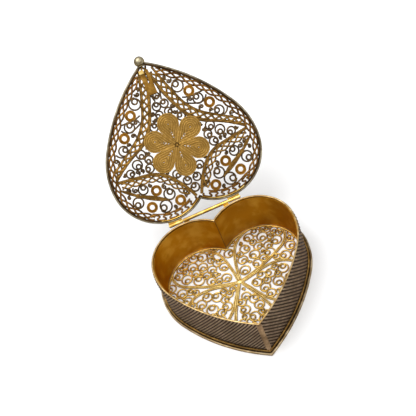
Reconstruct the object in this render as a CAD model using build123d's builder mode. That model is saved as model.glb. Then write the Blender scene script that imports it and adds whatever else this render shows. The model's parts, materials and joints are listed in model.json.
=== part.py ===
from build123d import *
import os
from math import acos, atan2, cos, degrees, radians, sin, sqrt

# Heart-shaped filigree trinket box with a hinged openwork lid, in millimetres.
# The box stands on Z = 0 with the tip of the heart towards -Y and the hinge at the back.
# The origin lies under the crossing of the floor's petals. The lid is drawn standing open.

# Overall sizes
box_width = 60.0
box_length = 59.5
box_height = 18.8
lid_open_angle = 132.0

# Heart outline: a lobe arc, a flank arc and a tip arc on each half, meeting smoothly
notch_depth = 3.89
lobe_end = 86.0
flank_radius = 27.4
flank_end = 120.3

# Walls, bands and wires of the box
wall_inset = 1.9
wall_thickness = 0.8
base_band_height = 0.9
foot_wire_size = 0.6
rim_wire_height = 0.9
rim_wire_width = 1.0
solder_gap = 0.05

# Floor
floor_crossing = 0.412
floor_edge_width = 0.7
floor_wire_height = 0.7
floor_rib_width = 0.6
floor_boss_radius = 1.15
floor_boss_sides = 14
floor_boss_height = 0.9

# Scroll wire
scroll_wire = 0.3
scroll_height = 0.7
scroll_bend = 36
panel_turns = (1.0, 0.78, 0.5)
field_turns = (1.0, 0.76)

# Lid frame and its lattice border
lid_shift = -1.0
lid_setback = 1.1
lid_clearance = 0.15
lid_band_width = 1.0
lid_band_height = 1.3
inlay_depth = 0.2
lattice_wire = 0.35
lattice_layer = 0.4
lattice_width = 2.2
lattice_pitch = 1.6
lattice_start = 0.065
lattice_stop = 0.98

# Bands and ribs that divide the lid
band_wire = 0.75
band_edge_wire = 0.5
band_width = 3.4
braid_width = 2.2
braid_pitch = 1.2
spine_width = 0.5
knot_radius = 0.9
rosette_radius = 2.1
rosette_hole = 0.95
rosette_sides = 14

# Flower
petal_count = 6
petal_sides = 20
petal_reach = 8.1
petal_radius = 3.75
petal_root = 1.65
petal_root_radius = 0.45
petal_height = 0.7
petal_eye = 4.7
petal_eye_radius = 0.6
petal_eye_root = 3.4
petal_eye_tail = 0.2
flower_boss_radius = 1.1
flower_boss_hole = 0.4
flower_boss_height = 0.9

# The heart that the patterns are drawn in; they stretch with the box from there
pattern_width = 60.0
pattern_length = 59.5

# Where the motifs stand, as shares of the half width and of the length of the heart.
# Scrolls add their outer radius and the angle at which the wire starts.
flower_down = 0.4387
rosette_spots = ((0.4, 0.716), (0.587, 0.603), (0.477, 0.237), (0.62, 0.138), (0.25, 0.11))
upper_panel_scrolls = ((0.283, 0.793, 1.5, 200), (0.493, 0.669, 1.45, 20), (0.687, 0.5395, 1.25, 180))
lower_panel_scrolls = (
    (0.643, 0.284, 1.7, 120),
    (0.757, 0.198, 1.7, -60),
    (0.363, 0.198, 1.6, 200),
    (0.457, 0.1, 1.8, -120),
)
field_scrolls = (
    (0.058, 0.731, 1.3, 90),
    (0.18, 0.61, 1.45, 180),
    (0.453, 0.469, 1.2, 0),
    (0.587, 0.417, 1.6, 45),
    (0.44, 0.385, 1.45, -90),
    (0.167, 0.277, 1.2, 60),
    (0.077, 0.21, 1.2, 0),
)
floor_scroll_radius = 2.1

# Thumb knob
knob_radius = 1.95
knob_reach = 0.4
knob_shift = -0.8
knob_facets = 7

# Hinge
barrel_radius = 0.7
pin_radius = 0.35
pin_overhang = 0.2
pin_seat_clearance = 0.02
pin_clearance = 0.05
barrel_wall_gap = 0.13
knuckle_gap = 0.25
hinge_shift = -1.3
centre_knuckle_length = 18.4
left_knuckle_length = 5.5
right_knuckle_length = 4.8
leaf_thickness = 0.6
lug_width = 2.2
lug_depth = 1.6

# Catch
catch_shift = -0.8
catch_plate_width = 3.6
catch_plate_length = 4.0
catch_arm_length = 5.2
catch_arm_width = 1.2
catch_hook_width = 1.8
catch_tip_distance = 3.4
catch_gap = 0.1
catch_thickness = 0.3
catch_drop = 2.3
catch_lean = 1.2
catch_top_clearance = 0.05

# Values that follow from the sizes above
half_width = box_width / 2
pattern_stretch = Vector(box_width / pattern_width, box_length / pattern_length)
field_inset = lid_band_width + 2 * solder_gap + lattice_width
floor_inset = wall_inset + wall_thickness + floor_edge_width
floor_field_inset = floor_inset + solder_gap
wall_height = box_height - rim_wire_height - base_band_height
inlay_bottom = lid_clearance + inlay_depth
catch_reach = box_length - catch_tip_distance
catch_plate_start = catch_reach - catch_plate_length - catch_arm_length

os.makedirs("parts", exist_ok=True)

# Outline geometry. In each heart sketch the backs of the lobes touch y = 0 and the tip
# points towards -y.
lobe_turn = radians(lobe_end)
flank_share = half_width - flank_radius * (1 - sin(lobe_turn))
lobe_term = flank_share * sin(lobe_turn) + notch_depth
lobe_root = sqrt(lobe_term**2 - sin(lobe_turn) ** 2 * (flank_share**2 + notch_depth**2))
lobe_radius = (lobe_term - lobe_root) / sin(lobe_turn) ** 2
lobe_centre = Vector(flank_share - lobe_radius * sin(lobe_turn), -lobe_radius)
flank_growth = flank_radius - lobe_radius
flank_centre = lobe_centre - Vector(sin(lobe_turn), cos(lobe_turn)) * flank_growth
flank_normal = Vector(sin(radians(flank_end)), cos(radians(flank_end)))
tip_reach = Vector(0, -box_length) - flank_centre
tip_growth = (tip_reach.length**2 - flank_radius**2) / (2 * (flank_radius - tip_reach.dot(flank_normal)))
tip_radius = flank_radius + tip_growth
tip_centre = flank_centre - flank_normal * tip_growth


def half_arcs(inset):
    """Arcs of the right half, from notch to tip: centre, radius, start angle and sweep."""
    lobe = lobe_radius - inset
    flank = flank_radius - inset
    tip = tip_radius - inset
    notch_angle = degrees(acos(-lobe_centre.X / lobe))
    tip_angle = -degrees(acos(-tip_centre.X / tip))
    return [
        (lobe_centre, lobe, notch_angle, 90 - lobe_end - notch_angle),
        (flank_centre, flank, 90 - lobe_end, lobe_end - flank_end),
        (tip_centre, tip, 90 - flank_end, tip_angle - 90 + flank_end),
    ]


def heart(inset, mode=Mode.ADD):
    """Fill the heart outline, moved in by inset, in the current sketch."""
    with BuildLine() as outline:
        for arc in half_arcs(inset):
            CenterArc(*arc)
        mirror(about=Plane.YZ)
    make_face(outline.edges(), mode=mode)


def ring(inset, width):
    """Fill a heart-shaped ring of the given width in the current sketch."""
    heart(inset)
    heart(inset + width, mode=Mode.SUBTRACT)


def stretched(place):
    """A place of the pattern, moved as the heart is wider or longer than the one it was drawn in."""
    return Vector(place.X * pattern_stretch.X, place.Y * pattern_stretch.Y)


def outline_face(places, mode=Mode.ADD):
    """Fill the closed outline through places of the pattern in the current sketch."""
    with BuildLine() as outline:
        Polyline(*[stretched(place) for place in places], close=True)
    make_face(outline.edges(), mode=mode)


def round_face(centre, radius, sides, mode=Mode.ADD):
    """Fill a disc of the pattern, drawn with flat sides, in the current sketch."""
    turns = [radians(360 * side / sides) for side in range(sides)]
    outline_face([centre + Vector(cos(turn), sin(turn)) * radius for turn in turns], mode)


def fine_ribbon(arcs, width, bend=36):
    """Fill a strip that follows joined arcs in short straight bends, in the current sketch."""
    left = []
    right = []
    for centre, radius, start, sweep in arcs:
        steps = max(1, round(abs(sweep) / bend))
        hand = 1 if sweep > 0 else -1
        for step in range(0 if (centre, radius, start, sweep) == arcs[0] else 1, steps + 1):
            angle = radians(start + sweep * step / steps)
            outward = Vector(cos(angle), sin(angle))
            left.append(centre + outward * (radius - hand * width / 2))
            right.append(centre + outward * (radius + hand * width / 2))
    outline_face(left + right[::-1])


def bent_wire(start, heading, *stops):
    """Arcs that leave start at the heading angle and pass smoothly through each stop."""
    arcs = []
    place = Vector(*start)
    for stop in stops:
        chord = Vector(*stop) - place
        turn = (degrees(atan2(chord.Y, chord.X)) - heading + 180) % 360 - 180
        radius = chord.length / (2 * sin(radians(abs(turn))))
        side = heading + (90 if turn > 0 else -90)
        centre = place + Vector(cos(radians(side)), sin(radians(side))) * radius
        arcs.append((centre, radius, side + 180, 2 * turn))
        heading += 2 * turn
        place = Vector(*stop)
    return arcs


def scroll(centre, radius, facing, hand, turns):
    """Fill a scroll of half turns, each tighter than the last, in the current sketch."""
    pivot = Vector(*centre)
    reach = radius - scroll_wire / 2
    arcs = []
    for step, share in enumerate(turns):
        if step > 0:
            outward = Vector(cos(radians(facing)), sin(radians(facing)))
            pivot += outward * reach * (turns[step - 1] - share)
        arcs.append((pivot, reach * share, facing, 180 * hand))
        facing += 180
    fine_ribbon(arcs, scroll_wire, scroll_bend)


def arc_through(first, middle, last):
    """Centre, radius, start angle and sweep of the arc through three points."""
    bend = ThreePointArc(first, middle, last, mode=Mode.PRIVATE)
    start = Vector(*first) - bend.arc_center
    turn = (bend % 0).cross(bend % 1).Z
    sweep = degrees(bend.length / bend.radius) * (1 if turn > 0 else -1)
    return bend.arc_center, bend.radius, degrees(atan2(start.Y, start.X)), sweep


def along(arcs, share):
    """Point at a share of the length of joined arcs, with its normal."""
    lengths = [radius * abs(radians(sweep)) for centre, radius, start, sweep in arcs]
    reach = share * sum(lengths)
    for (centre, radius, start, sweep), length in zip(arcs, lengths):
        if reach <= length or (centre, radius, start, sweep) == arcs[-1]:
            angle = radians(start + sweep * reach / length)
            outward = Vector(cos(angle), sin(angle))
            return centre + outward * radius, outward
        reach -= length


def zigzag(arcs, reach, bends, width, first=1):
    """Outline of a wire bent to and fro across joined arcs, reach wide over all."""
    outer = []
    inner = []
    for bend in range(bends + 1):
        point, outward = along(arcs, bend / bends)
        point += outward * (reach - width) / 2 * first * (1 if bend % 2 == 0 else -1)
        outer.append(point + outward * width / 2)
        inner.append(point - outward * width / 2)
    return outer + inner[::-1]


def lattice_wave(first):
    """Fill the lattice wire of both halves in the current sketch."""
    with BuildLine() as outline:
        Polyline(*zigzag(lattice_row, lattice_width, lattice_bends, lattice_wire, first), close=True)
    make_face(outline.edges())
    mirror(about=Plane.YZ)


def row_of(arcs, start, stop):
    """The stretch of joined arcs between two shares of their length."""
    lengths = [radius * abs(radians(sweep)) for centre, radius, angle, sweep in arcs]
    first = start * sum(lengths)
    last = stop * sum(lengths)
    stretch = []
    for (centre, radius, angle, sweep), length in zip(arcs, lengths):
        low = min(max(first / length, 0), 1)
        high = min(max(last / length, 0), 1)
        if high > low:
            stretch.append((centre, radius, angle + sweep * low, sweep * (high - low)))
        first -= length
        last -= length
    return stretch


def spot(across, down):
    """A place in the pattern as shares of its half width and of its length."""
    return Vector(across * pattern_width / 2, -down * pattern_length)


def spread(places):
    """Places on the right half together with their mirror images on the left half."""
    return [(spot(across, down), 1) for across, down in places] + [
        (spot(-across, down), -1) for across, down in places
    ]


# Planes: the base with the lobe backs on y = 0, and the lid about the hinge axis
outline_back = floor_crossing * box_length
hinge_y = outline_back - wall_inset + barrel_wall_gap + barrel_radius
hinge_z = box_height
lid_tilt = radians(lid_open_angle)
lid_normal = (0, sin(lid_tilt), cos(lid_tilt))
base_plane = Plane(origin=(0, outline_back, 0))
hinge_plane = Plane(origin=(0, hinge_y, hinge_z), x_dir=(1, 0, 0), z_dir=lid_normal)
lid_origin = hinge_plane.from_local_coords(Vector(lid_shift, -lid_setback, 0))
lid_plane = Plane(origin=lid_origin, x_dir=(1, 0, 0), z_dir=lid_normal)

# Base band: the flat ring that the walls stand on; it frames the floor and makes the flange
with BuildPart() as base_band:
    with BuildSketch(base_plane):
        ring(0, floor_inset)
    extrude(amount=base_band_height)
base_band.part.label = "base_band"
export_step(base_band.part, "parts/base_band.step")

# Foot wire: soldered in the corner between the base band and the walls
with BuildPart() as foot_wire:
    with BuildSketch(base_plane.offset(base_band_height)):
        ring(wall_inset - solder_gap - foot_wire_size, foot_wire_size)
    extrude(amount=foot_wire_size)
foot_wire.part.label = "foot_wire"
export_step(foot_wire.part, "parts/foot_wire.step")

# Walls: two bent sheets that meet at the notch and at the tip
wall_middle = wall_inset + wall_thickness / 2


def wall_outline():
    """Fill the right half of the wall's section in the current sketch."""
    with BuildLine() as outline:
        for inset in (wall_inset, wall_inset + wall_thickness):
            for arc in half_arcs(inset):
                CenterArc(*arc)
        for end in (0, -1):
            outer = along(half_arcs(wall_inset), abs(end))[0]
            inner = along(half_arcs(wall_inset + wall_thickness), abs(end))[0]
            Line(outer, inner)
    make_face(outline.edges())


with BuildPart() as wall_right:
    with BuildSketch(base_plane.offset(base_band_height)):
        wall_outline()
    extrude(amount=wall_height)
wall_right.part.label = "wall_right"
export_step(wall_right.part, "parts/wall_right.step")

with BuildPart() as wall_left:
    with BuildSketch(base_plane.offset(base_band_height)):
        wall_outline()
        mirror(about=Plane.YZ, mode=Mode.REPLACE)
    extrude(amount=wall_height)
wall_left.part.label = "wall_left"
export_step(wall_left.part, "parts/wall_left.step")

# Top wire: caps the walls and makes the rim that the lid closes on
with BuildPart() as wall_top_wire:
    with BuildSketch(base_plane.offset(box_height - rim_wire_height)):
        ring(wall_inset, rim_wire_width)
    extrude(amount=rim_wire_height)
wall_top_wire.part.label = "wall_top_wire"
export_step(wall_top_wire.part, "parts/wall_top_wire.step")

# Floor boss: the solder joint where the floor's ribs cross
with BuildPart() as floor_boss:
    with BuildSketch(Plane.XY):
        RegularPolygon(floor_boss_radius, floor_boss_sides)
    extrude(amount=floor_boss_height)
    chamfer(floor_boss.faces().sort_by(Axis.Z)[-1].edges(), 0.25)
floor_boss.part.label = "floor_boss"
export_step(floor_boss.part, "parts/floor_boss.step")


# Upper floor petals: two large loops of wire that fill the lobes
petal_left_edge = (spot(0.08, 0.21), spot(0.283, 0.099), spot(0.44, 0.08))
petal_right_edge = (spot(0.773, 0.178), spot(0.687, 0.292), spot(0.05, 0.4105))
upper_petal = bent_wire(spot(0.015, 0.389), 88, *petal_left_edge, *petal_right_edge)
with BuildPart() as floor_upper_petals:
    with BuildSketch(base_plane):
        fine_ribbon(upper_petal, floor_rib_width, 12)
        mirror(about=Plane.YZ)
        heart(floor_field_inset, mode=Mode.INTERSECT)
    extrude(amount=floor_wire_height)
floor_upper_petals.part.label = "floor_upper_petals"
export_step(floor_upper_petals.part, "parts/floor_upper_petals.step")

# Side ribs: the upper edges of the side petals
side_rib = bent_wire(spot(0.043, 0.4225), 12, spot(0.333, 0.3935), spot(0.533, 0.387), spot(0.86, 0.513))
with BuildPart() as floor_side_ribs:
    with BuildSketch(base_plane):
        fine_ribbon(side_rib, floor_rib_width, 12)
        mirror(about=Plane.YZ)
        heart(floor_field_inset, mode=Mode.INTERSECT)
    extrude(amount=floor_wire_height)
floor_side_ribs.part.label = "floor_side_ribs"
export_step(floor_side_ribs.part, "parts/floor_side_ribs.step")

# Lower ribs: two on each side, running from the crossing to the edge near the tip
outer_rib = bent_wire(spot(0.034, 0.4305), -50, spot(0.187, 0.538), spot(0.556, 0.757))
inner_rib = bent_wire(spot(0.073, 0.4775), -59.5, spot(0.197, 0.605), spot(0.303, 0.89))
with BuildPart() as floor_lower_ribs:
    with BuildSketch(base_plane):
        fine_ribbon(outer_rib, floor_rib_width, 12)
        fine_ribbon(inner_rib, floor_rib_width, 12)
        mirror(about=Plane.YZ)
        heart(floor_field_inset, mode=Mode.INTERSECT)
    extrude(amount=floor_wire_height)
floor_lower_ribs.part.label = "floor_lower_ribs"
export_step(floor_lower_ribs.part, "parts/floor_lower_ribs.step")

# Floor scrolls: coiled wires that fill the petals
upper_scrolls = (
    (0.527, 0.183),
    (0.24, 0.203),
    (0.307, 0.271),
    (0.457, 0.277),
    (0.15, 0.276),
    (0.387, 0.208),
    (0.643, 0.235),
)
side_scrolls = ((0.573, 0.434), (0.46, 0.4755), (0.276, 0.529))
tip_scrolls = (0.514, 0.587, 0.659, 0.731, 0.803)
with BuildPart() as floor_scrolls_upper:
    with BuildSketch(base_plane):
        for place, hand in spread(upper_scrolls):
            scroll(place, floor_scroll_radius, 90, hand, field_turns)
        heart(floor_field_inset, mode=Mode.INTERSECT)
    extrude(amount=scroll_height)
floor_scrolls_upper.part.label = "floor_scrolls_upper"
export_step(floor_scrolls_upper.part, "parts/floor_scrolls_upper.step")

with BuildPart() as floor_scrolls_lower:
    with BuildSketch(base_plane):
        for place, hand in spread(side_scrolls):
            scroll(place, floor_scroll_radius, -90, hand, field_turns)
        for down in tip_scrolls:
            scroll(spot(0, down), floor_scroll_radius, -90, 1, field_turns)
        heart(floor_field_inset, mode=Mode.INTERSECT)
    extrude(amount=scroll_height)
floor_scrolls_lower.part.label = "floor_scrolls_lower"
export_step(floor_scrolls_lower.part, "parts/floor_scrolls_lower.step")

# Hinge: a centre knuckle on the box, a knuckle and leaf on each lobe of the lid, and a pin
centre_left = hinge_shift - centre_knuckle_length / 2
centre_right = hinge_shift + centre_knuckle_length / 2
left_outer_end = centre_left - knuckle_gap - left_knuckle_length
right_outer_end = centre_right + knuckle_gap + right_knuckle_length


def hinge_section(x):
    """The plane across the hinge axis at x, with z along the axis."""
    return Plane(origin=(x, hinge_y, hinge_z), x_dir=(0, 1, 0), z_dir=(1, 0, 0))


def lobe_drop(start, stop, inset):
    """The most that a lobe's back falls away from its highest line between two places."""
    radius = lobe_radius - inset
    offsets = [abs(x) - lobe_centre.X for x in (start, stop)]
    return max(radius - sqrt(radius**2 - offset**2) for offset in offsets)


with BuildPart() as hinge_box_knuckle:
    with BuildSketch(hinge_section(centre_left)):
        Circle(barrel_radius)
    extrude(amount=centre_knuckle_length)
    for lug_start in (centre_left, centre_right - lug_width):
        with BuildSketch(hinge_section(lug_start)):
            lug_drop = lobe_drop(lug_start, lug_start + lug_width, wall_inset)
            lug_reach = barrel_radius + barrel_wall_gap + lug_drop
            with Locations((0, -barrel_radius / 2)):
                Rectangle(lug_reach, lug_depth, align=(Align.MAX, Align.MAX))
        extrude(amount=lug_width)
    with BuildSketch(base_plane):
        heart(wall_inset - solder_gap)
    extrude(amount=box_height + barrel_radius, mode=Mode.SUBTRACT)
    with BuildSketch(hinge_section(centre_left)):
        Circle(pin_radius + pin_seat_clearance)
    extrude(amount=centre_knuckle_length, mode=Mode.SUBTRACT)
hinge_box_knuckle.part.label = "hinge_box_knuckle"
export_step(hinge_box_knuckle.part, "parts/hinge_box_knuckle.step")

with BuildPart() as hinge_pin:
    with BuildSketch(hinge_section(left_outer_end - pin_overhang)):
        Circle(pin_radius)
    extrude(amount=right_outer_end - left_outer_end + 2 * pin_overhang)
hinge_pin.part.label = "hinge_pin"
export_step(hinge_pin.part, "parts/hinge_pin.step")


for name, knuckle_start, knuckle_length in (
    ("hinge_lid_knuckle_left", left_outer_end, left_knuckle_length),
    ("hinge_lid_knuckle_right", centre_right + knuckle_gap, right_knuckle_length),
):
    knuckle_end = knuckle_start + knuckle_length
    leaf_reach = lid_setback + lobe_drop(knuckle_start - lid_shift, knuckle_end - lid_shift, 0)
    with BuildPart() as lid_knuckle:
        with BuildSketch(hinge_plane.offset(lid_clearance)):
            with Locations((knuckle_start + knuckle_length / 2, 0)):
                Rectangle(knuckle_length, leaf_reach, align=(Align.CENTER, Align.MAX))
        extrude(amount=leaf_thickness)
        with BuildSketch(lid_plane):
            heart(-solder_gap)
        extrude(amount=2 * lid_band_height, mode=Mode.SUBTRACT)
        with BuildSketch(hinge_section(knuckle_start)):
            Circle(barrel_radius)
        extrude(amount=knuckle_length)
        with BuildSketch(hinge_section(knuckle_start)):
            Circle(pin_radius + pin_clearance)
        extrude(amount=knuckle_length, mode=Mode.SUBTRACT)
    lid_knuckle.part.label = name
    export_step(lid_knuckle.part, f"parts/{name}.step")

# Lid band: the flat wire round the edge of the lid
with BuildPart() as lid_band:
    with BuildSketch(lid_plane.offset(lid_clearance)):
        ring(0, lid_band_width)
    extrude(amount=lid_band_height)
lid_band.part.label = "lid_band"
export_step(lid_band.part, "parts/lid_band.step")

# Lattice border: two layers of bent wire that cross one another inside the band
lattice_row = row_of(half_arcs((lid_band_width + field_inset) / 2), lattice_start, lattice_stop)
row_length = sum(radius * abs(radians(sweep)) for centre, radius, start, sweep in lattice_row)
lattice_bends = 2 * round(row_length / lattice_pitch / 2)

with BuildPart() as lid_lattice_inner:
    with BuildSketch(lid_plane.offset(inlay_bottom)):
        lattice_wave(1)
    extrude(amount=lattice_layer)
lid_lattice_inner.part.label = "lid_lattice_inner"
export_step(lid_lattice_inner.part, "parts/lid_lattice_inner.step")

with BuildPart() as lid_lattice_outer:
    with BuildSketch(lid_plane.offset(inlay_bottom + lattice_layer)):
        lattice_wave(-1)
    extrude(amount=lattice_layer)
lid_lattice_outer.part.label = "lid_lattice_outer"
export_step(lid_lattice_outer.part, "parts/lid_lattice_outer.step")


def band(guide, width, edge_wire, pitch):
    """Fill two concentric strips with a bent wire between them, trimmed to the field."""
    centre, radius, start, sweep = guide
    low = radius - width + edge_wire / 2 + solder_gap
    high = radius - band_wire / 2 - solder_gap
    middle = (low + high) / 2
    fine_ribbon([guide], band_wire, 5)
    fine_ribbon([(centre, radius - width, start, sweep)], edge_wire, 5)
    bends = round(middle * abs(radians(sweep)) / pitch)
    outline_face(zigzag([(centre, middle, start, sweep)], high - low, bends, lattice_wire))
    heart(field_inset, mode=Mode.INTERSECT)


# Upper bands: from the tip to the widest part of the lid, one on each side of the field
upper_guide = arc_through(spot(0.043, 0.93), spot(0.31, 0.581), spot(0.93, 0.39))
with BuildPart() as lid_upper_band_right:
    with BuildSketch(lid_plane.offset(inlay_bottom)):
        band(upper_guide, band_width, band_edge_wire, lattice_pitch)
    extrude(amount=scroll_height)
lid_upper_band_right.part.label = "lid_upper_band_right"
export_step(lid_upper_band_right.part, "parts/lid_upper_band_right.step")

with BuildPart() as lid_upper_band_left:
    with BuildSketch(lid_plane.offset(inlay_bottom)):
        band(upper_guide, band_width, band_edge_wire, lattice_pitch)
        mirror(about=Plane.YZ, mode=Mode.REPLACE)
    extrude(amount=scroll_height)
lid_upper_band_left.part.label = "lid_upper_band_left"
export_step(lid_upper_band_left.part, "parts/lid_upper_band_left.step")

# Lower bands: from the notch round to the widest part of the lid, over each lobe
lower_guide = arc_through(spot(0.93, 0.37), spot(0.347, 0.305), spot(0.04, 0.06))
with BuildPart() as lid_lower_band_right:
    with BuildSketch(lid_plane.offset(inlay_bottom)):
        band(lower_guide, braid_width, lattice_wire, braid_pitch)
    extrude(amount=scroll_height)
lid_lower_band_right.part.label = "lid_lower_band_right"
export_step(lid_lower_band_right.part, "parts/lid_lower_band_right.step")

with BuildPart() as lid_lower_band_left:
    with BuildSketch(lid_plane.offset(inlay_bottom)):
        band(lower_guide, braid_width, lattice_wire, braid_pitch)
        mirror(about=Plane.YZ, mode=Mode.REPLACE)
    extrude(amount=scroll_height)
lid_lower_band_left.part.label = "lid_lower_band_left"
export_step(lid_lower_band_left.part, "parts/lid_lower_band_left.step")

# Spines: a bent wire with a knot in it across each lower panel
knot_spot = spot(0.733, 0.247)
spine_inward = bent_wire(knot_spot, 155, spot(0.39, 0.151))
spine_outward = bent_wire(knot_spot, -45, spot(0.86, 0.314))
with BuildPart() as lid_spines:
    with BuildSketch(lid_plane.offset(inlay_bottom)):
        round_face(knot_spot, knot_radius, rosette_sides)
        fine_ribbon(spine_inward, spine_width)
        fine_ribbon(spine_outward, spine_width)
        mirror(about=Plane.YZ)
    extrude(amount=scroll_height)
lid_spines.part.label = "lid_spines"
export_step(lid_spines.part, "parts/lid_spines.step")

# Rosettes: flat coiled rings, two in each upper panel and three in each lower panel
with BuildPart() as lid_rosettes:
    with BuildSketch(lid_plane.offset(inlay_bottom)):
        for place, hand in spread(rosette_spots):
            round_face(place, rosette_radius, rosette_sides)
            round_face(place, rosette_hole, rosette_sides, mode=Mode.SUBTRACT)
    extrude(amount=scroll_height)
lid_rosettes.part.label = "lid_rosettes"
export_step(lid_rosettes.part, "parts/lid_rosettes.step")

# Scrolls of the upper panels, of the lower panels and of the field round the flower
for name, scrolls, turns in (
    ("lid_scrolls_upper", upper_panel_scrolls, panel_turns),
    ("lid_scrolls_lower", lower_panel_scrolls, panel_turns),
    ("lid_scrolls_field", field_scrolls, field_turns),
):
    with BuildPart() as scrollwork:
        with BuildSketch(lid_plane.offset(inlay_bottom)):
            for across, down, radius, facing in scrolls:
                scroll(spot(across, down), radius, facing, 1, turns)
            mirror(about=Plane.YZ)
            heart(field_inset, mode=Mode.INTERSECT)
        extrude(amount=scroll_height)
    scrollwork.part.label = name
    export_step(scrollwork.part, f"parts/{name}.step")

# Flower: six close-wound petals round a boss
flower_spot = spot(0, flower_down)


def teardrop(reach, radius, root, root_radius, turn, mode=Mode.ADD):
    """Fill a teardrop that points at the flower's centre, in the current sketch."""
    lean = degrees(acos((radius - root_radius) / (reach - root)))
    heading = Vector(0, 1).rotate(Axis.Z, turn)
    places = []
    for centre, size, sides, start, sweep in (
        (reach, radius, petal_sides, lean - 90, 360 - 2 * lean),
        (root, root_radius, petal_sides // 3, 270 - lean, 2 * lean),
    ):
        steps = max(2, round(sides * sweep / 360))
        for step in range(steps + 1):
            angle = radians(turn + start + sweep * step / steps)
            places.append(flower_spot + heading * centre + Vector(cos(angle), sin(angle)) * size)
    outline_face(places, mode)


with BuildPart() as lid_flower_petals:
    with BuildSketch(lid_plane.offset(inlay_bottom)):
        for petal in range(petal_count):
            turn = 360 * petal / petal_count
            teardrop(petal_reach, petal_radius, petal_root, petal_root_radius, turn)
            teardrop(petal_eye, petal_eye_radius, petal_eye_root, petal_eye_tail, turn, Mode.SUBTRACT)
    extrude(amount=petal_height)
lid_flower_petals.part.label = "lid_flower_petals"
export_step(lid_flower_petals.part, "parts/lid_flower_petals.step")

with BuildPart() as lid_flower_boss:
    with BuildSketch(lid_plane.offset(inlay_bottom)):
        round_face(flower_spot, flower_boss_radius, rosette_sides)
        round_face(flower_spot, flower_boss_hole, rosette_sides, mode=Mode.SUBTRACT)
    extrude(amount=flower_boss_height)
lid_flower_boss.part.label = "lid_flower_boss"
export_step(lid_flower_boss.part, "parts/lid_flower_boss.step")

# Thumb knob: a ball soldered over the tip of the lid band
knob_spot = (knob_shift, -box_length - knob_reach)
knob_plane = lid_plane.offset(lid_clearance + lid_band_height / 2)
knob_centre = knob_plane.from_local_coords(Vector(*knob_spot, 0))
knob_turns = [radians(180 * step / knob_facets) for step in range(knob_facets + 1)]
knob_profile = [(knob_radius * cos(turn), knob_radius * sin(turn)) for turn in knob_turns]
with BuildPart() as thumb_knob:
    with BuildSketch(Plane(origin=knob_centre, x_dir=lid_plane.y_dir, z_dir=(1, 0, 0))):
        with BuildLine():
            Polyline(*knob_profile, close=True)
        make_face()
    revolve(axis=Axis(knob_centre, lid_plane.y_dir))
    with BuildSketch(lid_plane.offset(lid_clearance - 2 * knob_radius)):
        heart(-solder_gap)
    extrude(amount=lid_band_height + 4 * knob_radius, mode=Mode.SUBTRACT)
thumb_knob.part.label = "thumb_knob"
export_step(thumb_knob.part, "parts/thumb_knob.step")

# Catch plate: soldered to the inside of the filigree, with an arm that runs out to the hook
hook_x = catch_shift - catch_plate_width / 2 + catch_hook_width / 2
arm_x = catch_shift + catch_plate_width / 2 - catch_arm_width / 2
catch_strip = catch_reach - catch_plate_start - catch_gap
with BuildPart() as catch_plate:
    with BuildSketch(lid_plane.offset(lid_clearance)):
        with Locations((catch_shift, -catch_plate_start)):
            Rectangle(catch_plate_width, catch_plate_length, align=(Align.CENTER, Align.MAX))
        with Locations((hook_x, -catch_plate_start)):
            Rectangle(catch_hook_width, catch_strip, align=(Align.CENTER, Align.MAX))
        with Locations((arm_x, -catch_plate_start)):
            Rectangle(catch_arm_width, catch_strip, align=(Align.CENTER, Align.MAX))
    extrude(amount=inlay_depth)
catch_plate.part.label = "catch_plate"
export_step(catch_plate.part, "parts/catch_plate.step")

# Catch hook: a springy leaf that stands up from the end of the plate and snaps over the rim
hook_plane = Plane(
    origin=lid_plane.from_local_coords(Vector(hook_x - catch_hook_width / 2, -catch_reach, inlay_bottom)),
    x_dir=lid_plane.y_dir,
    z_dir=(1, 0, 0),
)
hook_top = -catch_top_clearance
with BuildPart() as catch_hook:
    with BuildSketch(hook_plane):
        with BuildLine():
            Polyline(
                (0, hook_top),
                (-catch_thickness, hook_top),
                (-catch_thickness, -catch_drop * 0.55),
                (catch_lean - catch_thickness, -catch_drop),
                (catch_lean, -catch_drop + catch_thickness / 2),
                (0, -catch_drop * 0.5),
                close=True,
            )
        make_face()
    extrude(amount=catch_hook_width)
catch_hook.part.label = "catch_hook"
export_step(catch_hook.part, "parts/catch_hook.step")
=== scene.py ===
"""Visible wires, sheets and finishes of a heart-shaped filigree trinket box that stands open."""

import json
import logging
import math
from dataclasses import dataclass, field
from enum import Enum

import bmesh
import bpy
from mathutils import Matrix, Vector
from mathutils.kdtree import KDTree


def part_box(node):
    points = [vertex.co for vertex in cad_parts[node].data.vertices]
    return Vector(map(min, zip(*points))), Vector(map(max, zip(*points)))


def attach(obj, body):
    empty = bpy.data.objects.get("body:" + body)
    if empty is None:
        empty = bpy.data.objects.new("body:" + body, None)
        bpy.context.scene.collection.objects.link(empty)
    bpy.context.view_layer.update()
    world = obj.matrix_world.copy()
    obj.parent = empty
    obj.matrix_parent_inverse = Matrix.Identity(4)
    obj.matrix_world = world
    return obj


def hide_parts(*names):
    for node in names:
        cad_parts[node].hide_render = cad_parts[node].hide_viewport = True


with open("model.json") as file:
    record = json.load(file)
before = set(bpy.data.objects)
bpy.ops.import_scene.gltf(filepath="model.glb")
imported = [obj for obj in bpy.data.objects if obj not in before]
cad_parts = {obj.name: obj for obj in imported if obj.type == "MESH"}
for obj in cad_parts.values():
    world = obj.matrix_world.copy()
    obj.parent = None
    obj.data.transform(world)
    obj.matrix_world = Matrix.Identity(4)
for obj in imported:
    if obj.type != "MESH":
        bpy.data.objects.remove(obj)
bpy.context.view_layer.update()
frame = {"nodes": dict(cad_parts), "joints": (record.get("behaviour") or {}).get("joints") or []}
log = logging.getLogger("trinket_box")

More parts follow.
